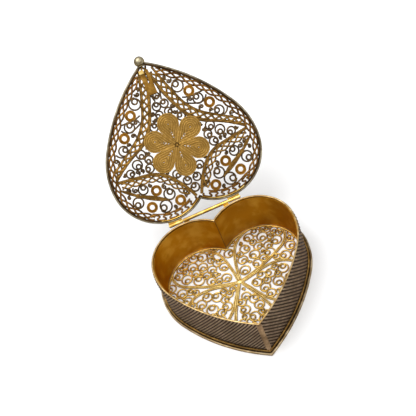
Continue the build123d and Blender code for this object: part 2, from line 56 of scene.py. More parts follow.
MM = 0.001
LID_SETBACK = 1.1  # from the hinge's axis to the lobe backs of the lid, in millimetres
WIRE_ROUNDING = 1  # rounding steps of a drawn wire's section
PLAIT_LIFT = 0.13  # how far a plaited wire rises over the others, in millimetres
PLAIT_POINTS = 5  # points from one crossing of a plait to the next
WELD = 0.0005  # corners closer than this are one corner, in millimetres
BROAD_SCALE = 0.17  # size of the broad stains against the fine grain
CORD_SWELL = 3.0  # height of a cord against the grain of its gilding
BUMP_STRENGTH = 0.6
SHEEN_AT_EDGE = 0.25  # specular level of every metal, which tints its edges only


class Hand(Enum):
    """Which way a scroll winds."""

    LEFT = 1
    RIGHT = -1


class Body(Enum):
    """The bodies of the box that new pieces ride on."""

    BOX = "box"
    LID = "lid"


class Slot(Enum):
    """The material slots of the record."""

    FILIGREE = "gilt_filigree"
    FLOOR = "gilt_floor"
    PETAL = "gilt_petal"
    BRIGHT = "gilt_bright"
    WALL = "gilt_wall"
    EDGE = "silver_edge"


def srgb(red: int, green: int, blue: int) -> tuple[float, float, float, float]:
    """A colour as the eye names it, turned into the linear values that shaders take.

    Args:
        red: Red from 0 to 255.
        green: Green from 0 to 255.
        blue: Blue from 0 to 255.

    Returns:
        Linear red, green and blue with an alpha of one.
    """
    tones = [tone / 255 for tone in (red, green, blue)]
    linear = [
        tone / 12.92 if tone <= 0.04045 else ((tone + 0.055) / 1.055) ** 2.4 for tone in tones
    ]
    return (*linear, 1.0)


# ---------------------------------------------------------------- lines of the pattern


def compass(degrees: float) -> Vector:
    """Unit vector on the flat that points at an angle."""
    return Vector((math.cos(math.radians(degrees)), math.sin(math.radians(degrees)), 0))


@dataclass(frozen=True)
class Bend:
    """One arc of a bent wire, in millimetres and degrees on the flat of the pattern."""

    centre: Vector
    radius: float
    start: float
    sweep: float

    def length(self) -> float:
        """Length of the arc."""
        return self.radius * abs(math.radians(self.sweep))

    def outward(self, share: float) -> Vector:
        """Direction from the centre at a share of the arc."""
        return compass(self.start + self.sweep * share)

    def place(self, share: float) -> Vector:
        """Point at a share of the arc."""
        return self.centre + self.outward(share) * self.radius


Line = list[Vector]
Row = tuple[float, float, float, float]  # across, down, radius and facing of a scroll


def walk(bends: list[Bend], turn: float = 15.0, stride: float = 1.2) -> Line:
    """Follow joined bends with a point at each small turn.

    Args:
        bends: The arcs, each starting where the one before it ends.
        turn: Most degrees between two points.
        stride: Most millimetres between two points.

    Returns:
        The points from the first end to the last.
    """
    line: Line = []
    for number, bend in enumerate(bends):
        steps = max(2, math.ceil(abs(bend.sweep) / turn), math.ceil(bend.length() / stride))
        first = 0 if number == 0 else 1
        line += [bend.place(step / steps) for step in range(first, steps + 1)]
    return line


def evenly(line: Line, spacing: float, closed: bool = False) -> tuple[Line, float]:
    """Put points at even steps along a line.

    Args:
        line: Points of the line.
        spacing: Wanted distance between two points.
        closed: Whether the last point joins the first.

    Returns:
        The new points and the distance between them.
    """
    knots = line + [line[0]] if closed else line
    lengths = [(b - a).length for a, b in zip(knots, knots[1:])]
    total = sum(lengths)
    count = max(2, round(total / spacing))
    step = total / count
    places: Line = []
    reach, leg = 0.0, 0
    for number in range(count if closed else count + 1):
        wanted = min(number * step, total - 1e-9)
        while reach + lengths[leg] < wanted and leg < len(lengths) - 1:
            reach += lengths[leg]
            leg += 1
        share = (wanted - reach) / lengths[leg] if lengths[leg] > 0 else 0
        places.append(knots[leg].lerp(knots[leg + 1], share))
    return places, step


def sideways(line: Line, closed: bool = False) -> Line:
    """Directions across a flat line, to its left.

    Args:
        line: Points of the line.
        closed: Whether the last point joins the first.

    Returns:
        A unit vector for each point.
    """
    count = len(line)
    across: Line = []
    for number in range(count):
        before = line[(number - 1) % count] if closed or number > 0 else line[0]
        after = line[(number + 1) % count] if closed or number < count - 1 else line[-1]
        along = (after - before).normalized()
        across.append(Vector((-along.y, along.x, 0)))
    return across


def beside(line: Line, gap: float, closed: bool = False) -> Line:
    """A line that runs beside another at a set gap, to its left."""
    return [place + side * gap for place, side in zip(line, sideways(line, closed))]


def bent_wire(start: Vector, heading: float, stops: list[Vector]) -> list[Bend]:
    """Arcs that leave a place at a heading and pass smoothly through each stop.

    Args:
        start: Where the wire begins.
        heading: Degrees in which it leaves.
        stops: Places that it passes through.

    Returns:
        One arc for each stop.
    """
    bends: list[Bend] = []
    place = start
    for stop in stops:
        chord = stop - place
        turn = (math.degrees(math.atan2(chord.y, chord.x)) - heading + 180) % 360 - 180
        radius = chord.length / (2 * math.sin(math.radians(abs(turn))))
        side = heading + (90 if turn > 0 else -90)
        bends.append(Bend(place + compass(side) * radius, radius, side + 180, 2 * turn))
        heading += 2 * turn
        place = stop
    return bends


def mirrored(line: Line) -> Line:
    """A line's mirror image on the other half of the heart."""
    return [Vector((-place.x, place.y, place.z)) for place in line]


def both(line: Line) -> tuple[Line, Line]:
    """A line and its mirror image."""
    return line, mirrored(line)


def spots(*pairs: tuple[float, float]) -> list[Vector]:
    """Places on the pattern from how far across and down they lie."""
    return [Vector((across, -down, 0)) for across, down in pairs]


def ring(centre: Vector, radius: float, turn: float) -> Line:
    """Centre line of a round wire, with a point at every turn of so many degrees."""
    return walk([Bend(centre, radius, 0, 360)], turn)[:-1]


class Winding(Enum):
    """How a scroll tightens: the share of its radius that each half turn keeps."""

    EYE = (1.0, 0.94, 0.48, 0.46, 0.44)
    HOOK = (1.0, 0.56, 0.5, 0.48)

    @classmethod
    def suited(cls, radius: float, smallest_eye: float) -> "Winding":
        """A full eye, or a plain hook for a scroll too small to hold one."""
        return cls.EYE if radius > smallest_eye else cls.HOOK


@dataclass(frozen=True)
class Scroll:
    """A wire wound in half turns, each a little tighter, that ends in a small eye."""

    across: float
    down: float
    radius: float
    facing: float
    hand: Hand = Hand.LEFT
    winding: Winding = Winding.EYE

    def line(self, wire: float) -> Line:
        """The scroll's centre line for a wire of this width.

        Args:
            wire: Width of the wire.

        Returns:
            The line, from the open end to the eye.
        """
        reach = self.radius - wire / 2
        pivot = Vector((self.across, -self.down, 0))
        facing = self.facing
        bends: list[Bend] = []
        turns = self.winding.value
        for step, share in enumerate(turns):
            if step > 0:
                pivot = pivot + compass(facing) * reach * (turns[step - 1] - share)
            bends.append(Bend(pivot, reach * share, facing, 180 * self.hand.value))
            facing += 180
        return walk(bends, 20)


@dataclass(frozen=True)
class HeartOutline:
    """Outline of the heart: a lobe, a flank and a tip arc on each half, lobe backs at zero."""

    half_width: float = 30.0
    length: float = 59.5
    notch_depth: float = 3.89
    lobe_end: float = 86.0
    flank_radius: float = 27.4
    flank_end: float = 120.3

    def bends(self, inset: float) -> list[Bend]:
        """Arcs of the right half, from notch to tip, moved in by a distance.

        Args:
            inset: Distance that the outline is moved in by.

        Returns:
            The lobe, the flank and the tip arc.
        """
        turn = math.radians(self.lobe_end)
        share = self.half_width - self.flank_radius * (1 - math.sin(turn))
        term = share * math.sin(turn) + self.notch_depth
        root = math.sqrt(term**2 - math.sin(turn) ** 2 * (share**2 + self.notch_depth**2))
        lobe = (term - root) / math.sin(turn) ** 2
        lobe_centre = Vector((share - lobe * math.sin(turn), -lobe, 0))
        joint = Vector((math.sin(turn), math.cos(turn), 0))
        flank_centre = lobe_centre - joint * (self.flank_radius - lobe)
        end = math.radians(self.flank_end)
        normal = Vector((math.sin(end), math.cos(end), 0))
        reach = Vector((0, -self.length, 0)) - flank_centre
        spare = reach.length_squared - self.flank_radius**2
        growth = spare / (2 * (self.flank_radius - reach.dot(normal)))
        tip_centre = flank_centre - normal * growth
        radii = (lobe - inset, self.flank_radius - inset, self.flank_radius + growth - inset)
        notch_angle = math.degrees(math.acos(-lobe_centre.x / radii[0]))
        tip_angle = -math.degrees(math.acos(-tip_centre.x / radii[2]))
        return [
            Bend(lobe_centre, radii[0], notch_angle, 90 - self.lobe_end - notch_angle),
            Bend(flank_centre, radii[1], 90 - self.lobe_end, self.lobe_end - self.flank_end),
            Bend(tip_centre, radii[2], 90 - self.flank_end, tip_angle - 90 + self.flank_end),
        ]

    def side_length(self, inset: float) -> float:
        """Length of one half of the outline."""
        return sum(bend.length() for bend in self.bends(inset))

    def place(self, share: float, inset: float) -> tuple[Vector, Vector]:
        """Point and outward direction at a share of the right half, from notch to tip.

        Args:
            share: Share of the half's length, from notch to tip.
            inset: Distance that the outline is moved in by.

        Returns:
            The point, and the direction out of the heart there.
        """
        bends = self.bends(inset)
        reach = share * sum(bend.length() for bend in bends)
        for bend in bends:
            if reach <= bend.length() or bend is bends[-1]:
                part = reach / bend.length()
                return bend.place(part), bend.outward(part)
            reach -= bend.length()
        raise ValueError("a share is from 0 to 1")

    def row(self, start: float, stop: float, inset: float, spacing: float) -> Line:
        """Even points between two shares of the right half.

        Args:
            start: Share of the half's length where the row starts.
            stop: Share where it ends.
            inset: Distance that the outline is moved in by.
            spacing: Wanted distance between two points.

        Returns:
            The points.
        """
        steps = max(2, round(self.side_length(inset) * (stop - start) / spacing))
        shares = [start + (stop - start) * step / steps for step in range(steps + 1)]
        return [self.place(share, inset)[0] for share in shares]

    def loop(self, inset: float, level: float, steps: tuple[int, int, int] = (40, 14, 18)) -> Line:
        """Closed outline at a height, from the notch down the right side and back up the left.

        Args:
            inset: Distance that the outline is moved in by.
            level: Height of the outline.
            steps: Steps along the lobe, the flank and the tip arc.

        Returns:
            The points, once round.
        """
        right: Line = []
        for bend, count in zip(self.bends(inset), steps):
            first = 0 if not right else 1
            right += [bend.place(step / count) for step in range(first, count + 1)]
        left = [Vector((-place.x, place.y, 0)) for place in reversed(right[1:-1])]
        return [Vector((place.x, place.y, level)) for place in right + left]


HEART = HeartOutline()


# ---------------------------------------------------------------- where the work lies


@dataclass(frozen=True)
class Bench:
    """The plane that a piece is laid out on, in millimetres, and the body that it rides on."""

    body: Body
    origin: Vector
    turn: float

    def matrix(self) -> Matrix:
        """Placing matrix of the bench."""
        turned = Matrix.Rotation(self.turn, 4, "X")
        return Matrix.Translation(self.origin) @ turned @ Matrix.Scale(MM, 4)


def lid_bench() -> Bench:
    """The lid's inner face: its lobe backs on zero and its outside upwards.

    Returns:
        The bench, tilted as far as the lid is open.
    """
    hinge = next(joint for joint in frame["joints"] if joint["name"] == "lid_hinge")
    opened = math.radians(hinge["range_deg"][1])
    low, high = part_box("lid_band")
    lobe_backs = Vector(((low.x + high.x) / 2, -LID_SETBACK * MM, 0))
    origin = Vector(hinge["pos_m"]) + Matrix.Rotation(-opened, 3, "X") @ lobe_backs
    return Bench(Body.LID, origin, -opened)


def box_bench() -> Bench:
    """The ground that the box stands on, with the lobe backs on zero."""
    return Bench(Body.BOX, Vector((0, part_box("base_band")[1].y, 0)), 0.0)


# ---------------------------------------------------------------- wires


@dataclass(frozen=True)
class Gauge:
    """Section of a drawn wire, flat or round, in millimetres."""

    width: float
    height: float


@dataclass(frozen=True)
class Rope:
    """Two fine strands twisted together."""

    strand: float
    pitch: float
    strands: int = 2
    points: int = 7
    closeness: float = 0.92

    def lay(self, line: Line, level: float, closed: bool = False) -> list[Line]:
        """Strand lines that wind round a flat line.

        Args:
            line: Line that the rope follows.
            level: Height of the rope's middle.
            closed: Whether the rope is a ring.

        Returns:
            One line for each strand.
        """
        places, step = evenly(line, self.pitch / self.points, closed)
        across = sideways(places, closed)
        rounds = max(1, round(len(places) * step / self.pitch))
        laid: list[Line] = []
        for strand in range(self.strands):
            made: Line = []
            for number, (place, side) in enumerate(zip(places, across)):
                angle = 2 * math.pi * (rounds * number / len(places) + strand / self.strands)
                offset = side * math.cos(angle) + Vector((0, 0, 1)) * math.sin(angle)
                made.append(place + Vector((0, 0, level)) + offset * self.strand * self.closeness)
            laid.append(made)
        return laid


def finished(work: bmesh.types.BMesh, name: str) -> bpy.types.Mesh:
    """Turn a mesh from the bench into a smooth-shaded one.

    Args:
        work: The mesh on the bench, which is freed.
        name: Name of the new mesh.

    Returns:
        The new mesh.
    """
    for face in work.faces:
        face.smooth = True
    mesh = bpy.data.meshes.new(name)
    work.to_mesh(mesh)
    work.free()
    return mesh


@dataclass
class WireWork:
    """Wires of one piece, gathered by gauge and drawn into one mesh."""

    name: str
    runs: list[tuple[Gauge, Line, bool]] = field(default_factory=list)

    def draw(self, gauge: Gauge, line: Line, level: float, closed: bool = False) -> None:
        """Add a wire whose middle lies at a height.

        Args:
            gauge: Section of the wire.
            line: Its centre line; a point's own height counts from the level.
            level: Height of the wire's middle.
            closed: Whether it is a ring.
        """
        self.runs.append((gauge, [place + Vector((0, 0, level)) for place in line], closed))

    def twist(self, rope: Rope, line: Line, level: float, closed: bool = False) -> None:
        """Add a rope along a line."""
        for strand in rope.lay(line, level, closed):
            self.runs.append((Gauge(2 * rope.strand, 2 * rope.strand), strand, closed))

    def plait(self, gauge: Gauge, line: Line, level: float, width: float, unit: float) -> None:
        """Three wires plaited along a line, each over and under the others in turn.

        Args:
            gauge: Section of each wire.
            line: Middle of the plait.
            level: Height of the plait's middle.
            width: Outer width of the plait.
            unit: Distance from one crossing to the next.
        """
        places, step = evenly(line, unit / PLAIT_POINTS)
        across = sideways(places)
        reach = (width - gauge.width) / 2
        count = round(len(places) * step / unit)
        for strand in range(3):
            made: Line = []
            for number, (place, side) in enumerate(zip(places, across)):
                angle = 2 * math.pi * (count * number / len(places) + strand) / 3
                lift = Vector((0, 0, PLAIT_LIFT * math.sin(2 * angle)))
                made.append(place + side * reach * math.sin(angle) + lift)
            self.draw(gauge, made, level)

    def lines(self) -> list[Line]:
        """Centre lines of the wires so far, laid flat."""
        return [[Vector((place.x, place.y, 0)) for place in line] for _, line, _ in self.runs]

    def mesh(self) -> bpy.types.Mesh:
        """Draw all wires and join them.

        Returns:
            The mesh, in millimetres on its bench.
        """
        work = bmesh.new()
        for gauge in dict.fromkeys(run[0] for run in self.runs):
            curve = bpy.data.curves.new(self.name, "CURVE")
            curve.dimensions = "3D"
            curve.twist_mode = "Z_UP"
            thin = min(gauge.width, gauge.height)
            curve.bevel_depth = thin / 2
            curve.extrude = (gauge.height - thin) / 2
            curve.bevel_resolution = WIRE_ROUNDING
            curve.use_fill_caps = True
            for _, line, closed in (run for run in self.runs if run[0] == gauge):
                spline = curve.splines.new("POLY")
                spline.points.add(len(line) - 1)
                for point, place in zip(spline.points, line):
                    point.co = (*place, 1)
                spline.use_cyclic_u = closed
            holder = bpy.data.objects.new(self.name, curve)
            drawn = bpy.data.meshes.new_from_object(holder)
            work.from_mesh(drawn)
            bpy.data.objects.remove(holder)
            bpy.data.curves.remove(curve)
            bpy.data.meshes.remove(drawn)
        bmesh.ops.recalc_face_normals(work, faces=work.faces)
        return finished(work, self.name)


@dataclass
class Openings:
    """Finds the open places between wires, widest first, for the small scrolls that join them."""

    inset: float
    lines: list[Line]
    discs: list[tuple[Vector, float]]
    least: float = 0.75
    most: float = 2.3
    overlap: float = 0.35
    half_wire: float = 0.3
    grid: float = 0.6
    outline_steps: tuple[int, int, int] = (20, 7, 9)

    def inside(self, place: Vector, outline: Line) -> bool:
        """Whether a place lies inside a closed outline.

        Args:
            place: The place.
            outline: Points of the outline, once round.

        Returns:
            True where the place lies inside.
        """
        count = 0
        for a, b in zip(outline, outline[1:] + outline[:1]):
            if (a.y > place.y) != (b.y > place.y):
                count += place.x < a.x + (b.x - a.x) * (place.y - a.y) / (b.y - a.y)
        return count % 2 == 1

    def clearance(self, place: Vector, reach: float) -> float:
        """Room round a place, from its distance to the nearest wire and the discs."""
        rooms = [(place - centre).length - radius for centre, radius in self.discs]
        return min([reach - self.half_wire] + rooms)

    def rows(self, from_across: float) -> list[Row]:
        """Across, down, radius and facing of a scroll for each opening.

        Args:
            from_across: Least distance to the right of the middle line.

        Returns:
            One row for each scroll, the largest first.
        """
        outline = HEART.loop(self.inset, 0, self.outline_steps)
        wires = [place for line in self.lines for place in line] + outline
        tree = KDTree(len(wires))
        for number, place in enumerate(wires):
            tree.insert(place, number)
        tree.balance()
        places: list[tuple[Vector, float]] = []
        gaps: list[float] = []
        for column in range(int((HEART.half_width - from_across) / self.grid)):
            for row in range(int(HEART.length / self.grid)):
                place = Vector((from_across + column * self.grid, -row * self.grid, 0))
                if not self.inside(place, outline):
                    continue
                nearest, _, reach = tree.find(place)
                clear = self.clearance(place, reach)
                if clear > self.least:
                    toward = nearest - place
                    places.append((place, math.degrees(math.atan2(toward.y, toward.x))))
                    gaps.append(clear)
        rows: list[Row] = []
        while gaps and max(gaps) > self.least:
            best = gaps.index(max(gaps))
            centre, facing = places[best]
            radius = min(gaps[best] + self.overlap, self.most)
            rows.append((centre.x, -centre.y, radius, facing))
            gaps = [
                min(gap, (place - centre).length - radius)
                for gap, (place, _) in zip(gaps, places)
            ]
        log.info("openings: %d scrolls", len(rows))
        return rows


# ---------------------------------------------------------------- shader effects


class NodeBench:
    """Short ways to place and link nodes in one tree."""

    def __init__(self, tree: bpy.types.NodeTree) -> None:
        """Work on a tree."""
        self.tree = tree

    def link(self, source: object, target: object) -> None:
        """Feed a socket from a socket or a plain value.

        Args:
            source: An output socket or a plain value.
            target: The input socket that takes it.
        """
        if isinstance(source, bpy.types.NodeSocket):
            self.tree.links.new(source, target)
        else:
            target.default_value = source

    def given(self, label: str) -> bpy.types.NodeSocket:
        """An input of the group."""
        return self.tree.nodes["in"].outputs[label]

    def result(self, label: str) -> bpy.types.NodeSocket:
        """An output of the group."""
        return self.tree.nodes["out"].inputs[label]

    def math(self, operation: str, first: object, second: object = 0.0) -> bpy.types.NodeSocket:
        """A Math node.

        Args:
            operation: Name of the operation.
            first: First socket or value.
            second: Second socket or value.

        Returns:
            The output socket.
        """
        node = self.tree.nodes.new("ShaderNodeMath")
        node.operation = operation
        self.link(first, node.inputs[0])
        self.link(second, node.inputs[1])
        return node.outputs[0]

    def sum(self, first: object, second: object) -> bpy.types.NodeSocket:
        """Two values added."""
        return self.math("ADD", first, second)

    def product(self, first: object, second: object) -> bpy.types.NodeSocket:
        """Two values multiplied."""
        return self.math("MULTIPLY", first, second)

    def step(self, value: object, low: float, high: float) -> bpy.types.NodeSocket:
        """A smooth step from zero at low to one at high.

        Args:
            value: Socket or value.
            low: Where the step starts.
            high: Where the step ends.

        Returns:
            The output socket.
        """
        node = self.tree.nodes.new("ShaderNodeMapRange")
        node.interpolation_type = "SMOOTHSTEP"
        self.link(value, node.inputs["Value"])
        node.inputs["From Min"].default_value = low
        node.inputs["From Max"].default_value = high
        return node.outputs["Result"]

    def blend(self, factor: object, first: object, second: object) -> bpy.types.NodeSocket:
        """A mix of two colours.

        Args:
            factor: Share of the second colour.
            first: First socket or colour.
            second: Second socket or colour.

        Returns:
            The output socket.
        """
        node = self.tree.nodes.new("ShaderNodeMix")
        node.data_type = "RGBA"
        self.link(factor, node.inputs[0])
        self.link(first, node.inputs[6])
        self.link(second, node.inputs[7])
        return node.outputs[2]

    def noise(self, vector: object, scale: object, detail: float) -> bpy.types.NodeSocket:
        """A noise value.

        Args:
            vector: Where on the pattern.
            scale: Scale of the noise.
            detail: How many finer layers it has.

        Returns:
            The output socket.
        """
        node = self.tree.nodes.new("ShaderNodeTexNoise")
        self.link(vector, node.inputs["Vector"])
        self.link(scale, node.inputs["Scale"])
        node.inputs["Detail"].default_value = detail
        return node.outputs["Fac"]

    def split(self, vector: object) -> tuple[bpy.types.NodeSocket, ...]:
        """The three parts of a vector.

        Args:
            vector: The vector.

        Returns:
            Sockets of its x, y and z.
        """
        node = self.tree.nodes.new("ShaderNodeSeparateXYZ")
        self.link(vector, node.inputs[0])
        return node.outputs[0], node.outputs[1], node.outputs[2]

    def group(self, tree: bpy.types.NodeTree, **values: object) -> bpy.types.Node:
        """A group node with values or links for its inputs.

        Args:
            tree: The group.
            **values: A socket or a value for each named input.

        Returns:
            The group node.
        """
        node = self.tree.nodes.new("ShaderNodeGroup")
        node.node_tree = tree
        for label, value in values.items():
            self.link(value, node.inputs[label])
        return node


class EffectGroups:
    """Shader node groups that several finishes share, each built once."""

    def __init__(self) -> None:
        """Start with no group built."""
        self._made: dict[str, bpy.types.NodeTree] = {}

    def _new(
        self, name: str, inputs: dict[str, tuple[str, object]], outputs: dict[str, str]
    ) -> bpy.types.NodeTree:
        """Make a group with named sockets.

        Args:
            name: Name of the group.
            inputs: Socket type and default for each input.
            outputs: Socket type for each output.

        Returns:
            The group, with its input and output nodes placed.
        """
        group = bpy.data.node_groups.new(name, "ShaderNodeTree")
        for label, (kind, default) in inputs.items():
            socket = group.interface.new_socket(name=label, in_out="INPUT", socket_type=kind)
            if default is not None:
                socket.default_value = default
        for label, kind in outputs.items():
            group.interface.new_socket(name=label, in_out="OUTPUT", socket_type=kind)
        group.nodes.new("NodeGroupInput").name = "in"
        group.nodes.new("NodeGroupOutput").name = "out"
        self._made[name] = group
        return group

    def gilding(self) -> bpy.types.NodeTree:
        """Worn gilding: a mid tone with bright rubbed places and dark tarnish stains, and painted
        shade that turns it dark and less metallic where its painted-shade input is high.

        Returns:
            The group.
        """
        if "gilding" in self._made:
            return self._made["gilding"]
        colour, number = "NodeSocketColor", "NodeSocketFloat"
        group = self._new(
            "gilding",
            {
                "Vector": ("NodeSocketVector", None),
                "Bright": (colour, None),
                "Mid": (colour, None),
                "Dark": (colour, None),
                "Scale": (number, 1.0),
                "Rub": (number, 0.5),
                "Tarnish": (number, 0.3),
                "Recess": (number, 0.0),
                "Shine": (number, 0.35),
            },
            {"Colour": colour, "Roughness": number, "Metallic": number, "Height": number},
        )
        kit = NodeBench(group)
        fine = kit.noise(kit.given("Vector"), kit.given("Scale"), 3.0)
        broad_scale = kit.product(kit.given("Scale"), BROAD_SCALE)
        broad = kit.noise(kit.given("Vector"), broad_scale, 2.0)
        rubbed = kit.product(kit.step(fine, 0.42, 0.68), kit.given("Rub"))
        stained = kit.product(kit.step(broad, 0.42, 0.66), kit.given("Tarnish"))
        base = kit.blend(rubbed, kit.given("Mid"), kit.given("Bright"))
        aged = kit.blend(stained, base, kit.given("Dark"))
        shaded = kit.blend(kit.given("Recess"), aged, kit.given("Dark"))
        kit.link(shaded, kit.result("Colour"))
        dull = kit.sum(kit.product(kit.sum(stained, kit.given("Recess")), 0.3), kit.given("Shine"))
        kit.link(kit.sum(dull, kit.product(fine, 0.1)), kit.result("Roughness"))
        # painted shade also takes away most of the metal's reflection, so shaded flanks stay dark
        kit.link(kit.sum(kit.product(kit.given("Recess"), -0.9), 1.0), kit.result("Metallic"))
        kit.link(kit.sum(fine, kit.product(broad, 0.6)), kit.result("Height"))
        return group

    def layer(self) -> bpy.types.NodeTree:
        """Painted shade on flat wirework: full at the height of its middle plane, on the flanks of
        the wires, fading to none on their top and bottom faces.

        Returns:
            The group.
        """
        if "layer" in self._made:
            return self._made["layer"]
        number = "NodeSocketFloat"
        group = self._new(
            "layer",
            {
                "Vector": ("NodeSocketVector", None),
                "Middle": (number, 0.5),
                "Reach": (number, 0.35),
            },
            {"Recess": number},
        )
        kit = NodeBench(group)
        height = kit.split(kit.given("Vector"))[2]
        away = kit.math("ABSOLUTE", kit.math("SUBTRACT", height, kit.given("Middle")))
        share = kit.math("DIVIDE", away, kit.given("Reach"))
        kit.link(kit.sum(kit.product(kit.step(share, 0.25, 0.95), -1.0), 1.0), kit.result("Recess"))
        return group

    def cord(self) -> bpy.types.NodeTree:
        """Cords laid side by side: painted shade in the furrows between them, broken into beads
        along their twist, and the same shape as a height for the bump.

        Returns:
            The group.
        """
        if "cord" in self._made:
            return self._made["cord"]
        number = "NodeSocketFloat"
        group = self._new(
            "cord",
            {"Vector": ("NodeSocketVector", None), "Pitch": (number, 0.8)},
            {"Recess": number, "Height": number},
        )
        kit = NodeBench(group)
        across, along, _ = kit.split(kit.given("Vector"))
        crown = kit.math("ABSOLUTE", kit.math("SINE", kit.product(across, math.pi)))
        lay = kit.sum(kit.math("DIVIDE", along, kit.given("Pitch")), across)
        bead = kit.math("ABSOLUTE", kit.math("SINE", kit.product(lay, math.pi)))
        height = kit.product(crown, kit.sum(kit.product(bead, 0.22), 0.78))
        kit.link(kit.sum(kit.product(kit.step(height, 0.5, 0.95), -1.0), 1.0), kit.result("Recess"))
        kit.link(height, kit.result("Height"))
        return group


effects = EffectGroups()


class Relief(Enum):
    """Where a finish paints shade: on the flanks of flat wirework, in the furrows between cords, or
    nowhere.
    """

    NONE = "none"
    LAYER = "layer"
    CORD = "cord"


@dataclass(frozen=True)
class Finish:
    """A finish of the metal: tones, wear, sheen and painted shade. Sizes are in millimetres."""

    name: str
    bright: tuple[int, int, int]
    mid: tuple[int, int, int]
    dark: tuple[int, int, int]
    grain: float = 1.2
    rub: float = 0.6
    tarnish: float = 0.35
    shine: float = 0.3
    bump: float = 0.06
    relief: Relief = Relief.NONE
    middle: float = 0.5
    reach: float = 0.35

    def material(self, bench: Bench) -> bpy.types.Material:
        """Build the finish for work on a bench.

        Args:
            bench: Plane of the piece, which the painted shade on the wire flanks is measured from.

        Returns:
            The material.
        """
        made = bpy.data.materials.get(self.name)
        if made is not None:
            return made
        made = bpy.data.materials.new(self.name)
        made.use_nodes = True
        kit = NodeBench(made.node_tree)
        shader = made.node_tree.nodes["Principled BSDF"]
        place = made.node_tree.nodes.new("ShaderNodeTexCoord")
        mapping = made.node_tree.nodes.new("ShaderNodeMapping")
        mapping.vector_type = "TEXTURE"
        mapping.inputs["Location"].default_value = bench.origin
        mapping.inputs["Rotation"].default_value = (bench.turn, 0, 0)
        mapping.inputs["Scale"].default_value = (MM, MM, MM)
        kit.link(place.outputs["Object"], mapping.inputs["Vector"])
        laid = mapping.outputs["Vector"]
        # painted shade: the dark, less metallic flanks of flat wirework, or the furrows between
        # cords
        painted_shade: object = 0.0
        swell: object = None
        if self.relief is Relief.LAYER:
            layer = kit.group(effects.layer(), Vector=laid, Middle=self.middle, Reach=self.reach)
            painted_shade = layer.outputs["Recess"]
        if self.relief is Relief.CORD:
            cord = kit.group(effects.cord(), Vector=place.outputs["UV"], Pitch=self.reach)
            painted_shade, swell = cord.outputs["Recess"], cord.outputs["Height"]
        gilding = kit.group(
            effects.gilding(),
            Vector=laid,
            Bright=srgb(*self.bright),
            Mid=srgb(*self.mid),
            Dark=srgb(*self.dark),
            Scale=self.grain,
            Rub=self.rub,
            Tarnish=self.tarnish,
            Recess=painted_shade,
            Shine=self.shine,
        )
        bump = made.node_tree.nodes.new("ShaderNodeBump")
        bump.inputs["Distance"].default_value = self.bump * MM
        bump.inputs["Strength"].default_value = BUMP_STRENGTH
        height = gilding.outputs["Height"]
        if swell is not None:
            height = kit.sum(height, kit.product(swell, CORD_SWELL))
        kit.link(height, bump.inputs["Height"])
        kit.link(gilding.outputs["Colour"], shader.inputs["Base Color"])
        kit.link(gilding.outputs["Roughness"], shader.inputs["Roughness"])
        kit.link(bump.outputs["Normal"], shader.inputs["Normal"])
        if self.relief is Relief.NONE:
            shader.inputs["Metallic"].default_value = 1.0
        else:
            kit.link(gilding.outputs["Metallic"], shader.inputs["Metallic"])
        shader.inputs["Specular IOR Level"].default_value = SHEEN_AT_EDGE
        shader.inputs["Specular Tint"].default_value = srgb(*self.mid)
        made.diffuse_color = srgb(*self.mid)
        return made


BAND_GILT = Finish(
    "band_gilt", bright=(174, 134, 66), mid=(130, 95, 43), dark=(60, 42, 21),
    grain=1.2, rub=0.7, tarnish=0.4, shine=0.3, relief=Relief.LAYER, middle=0.72, reach=0.36,
)
SCROLL_GILT = Finish(
    "scroll_gilt", bright=(124, 96, 58), mid=(84, 65, 42), dark=(42, 32, 21),
    grain=0.8, rub=0.6, tarnish=0.45, shine=0.38, relief=Relief.LAYER, middle=0.72, reach=0.33,
)
LATTICE_GILT = Finish(
    "lattice_gilt", bright=(160, 114, 52), mid=(118, 80, 34), dark=(60, 40, 20),
    grain=0.5, rub=0.7, tarnish=0.5, shine=0.34, relief=Relief.LAYER, middle=0.75, reach=0.36,
)
ROSETTE_GILT = Finish(
    "rosette_gilt", bright=(196, 142, 58), mid=(154, 106, 34), dark=(74, 46, 14),
    grain=1.0, rub=0.7, tarnish=0.35, shine=0.32, relief=Relief.LAYER, middle=0.72, reach=0.34,
)
PETAL_GILT = Finish(
    "petal_gilt", bright=(204, 164, 90), mid=(168, 130, 62), dark=(84, 60, 26),
    grain=1.4, rub=0.6, tarnish=0.12, shine=0.4, relief=Relief.LAYER, middle=0.72, reach=0.45,
)
BOSS_GILT = Finish(
    "boss_gilt", bright=(120, 90, 44), mid=(84, 60, 26), dark=(30, 20, 10),
    grain=1.4, rub=0.6, tarnish=0.3, shine=0.42,
)
FOOT_GILT = Finish(
    "foot_gilt", bright=(196, 158, 92), mid=(146, 112, 60), dark=(70, 50, 26),
    grain=0.6, rub=0.6, tarnish=0.35, shine=0.34,
)
FLOOR_GILT = Finish(
    "floor_gilt", bright=(242, 212, 128), mid=(204, 166, 84), dark=(110, 78, 32),
    grain=0.5, rub=0.6, tarnish=0.35, shine=0.32, relief=Relief.LAYER, middle=0.37, reach=0.33,
)
RIB_GILT = Finish(
    "rib_gilt", bright=(250, 232, 164), mid=(218, 186, 106), dark=(130, 96, 40),
    grain=0.7, rub=0.7, tarnish=0.3, shine=0.26, relief=Relief.LAYER, middle=0.37, reach=0.28,
)
WALL_GILT = Finish(
    "wall_gilt", bright=(222, 178, 80), mid=(198, 145, 44), dark=(156, 106, 24),
    grain=0.22, rub=0.8, tarnish=0.45, shine=0.36, bump=0.12,
)
CORD_SILVER = Finish(
    "cord_silver", bright=(182, 160, 136), mid=(138, 119, 99), dark=(58, 45, 34),
    grain=0.5, rub=0.6, tarnish=0.2, shine=0.38, relief=Relief.CORD, reach=0.9, bump=0.1,
)
EDGE_SILVER = Finish(
    "edge_silver", bright=(176, 166, 142), mid=(126, 114, 90), dark=(62, 50, 36),
    grain=0.35, rub=0.8, tarnish=0.45, shine=0.32,
)
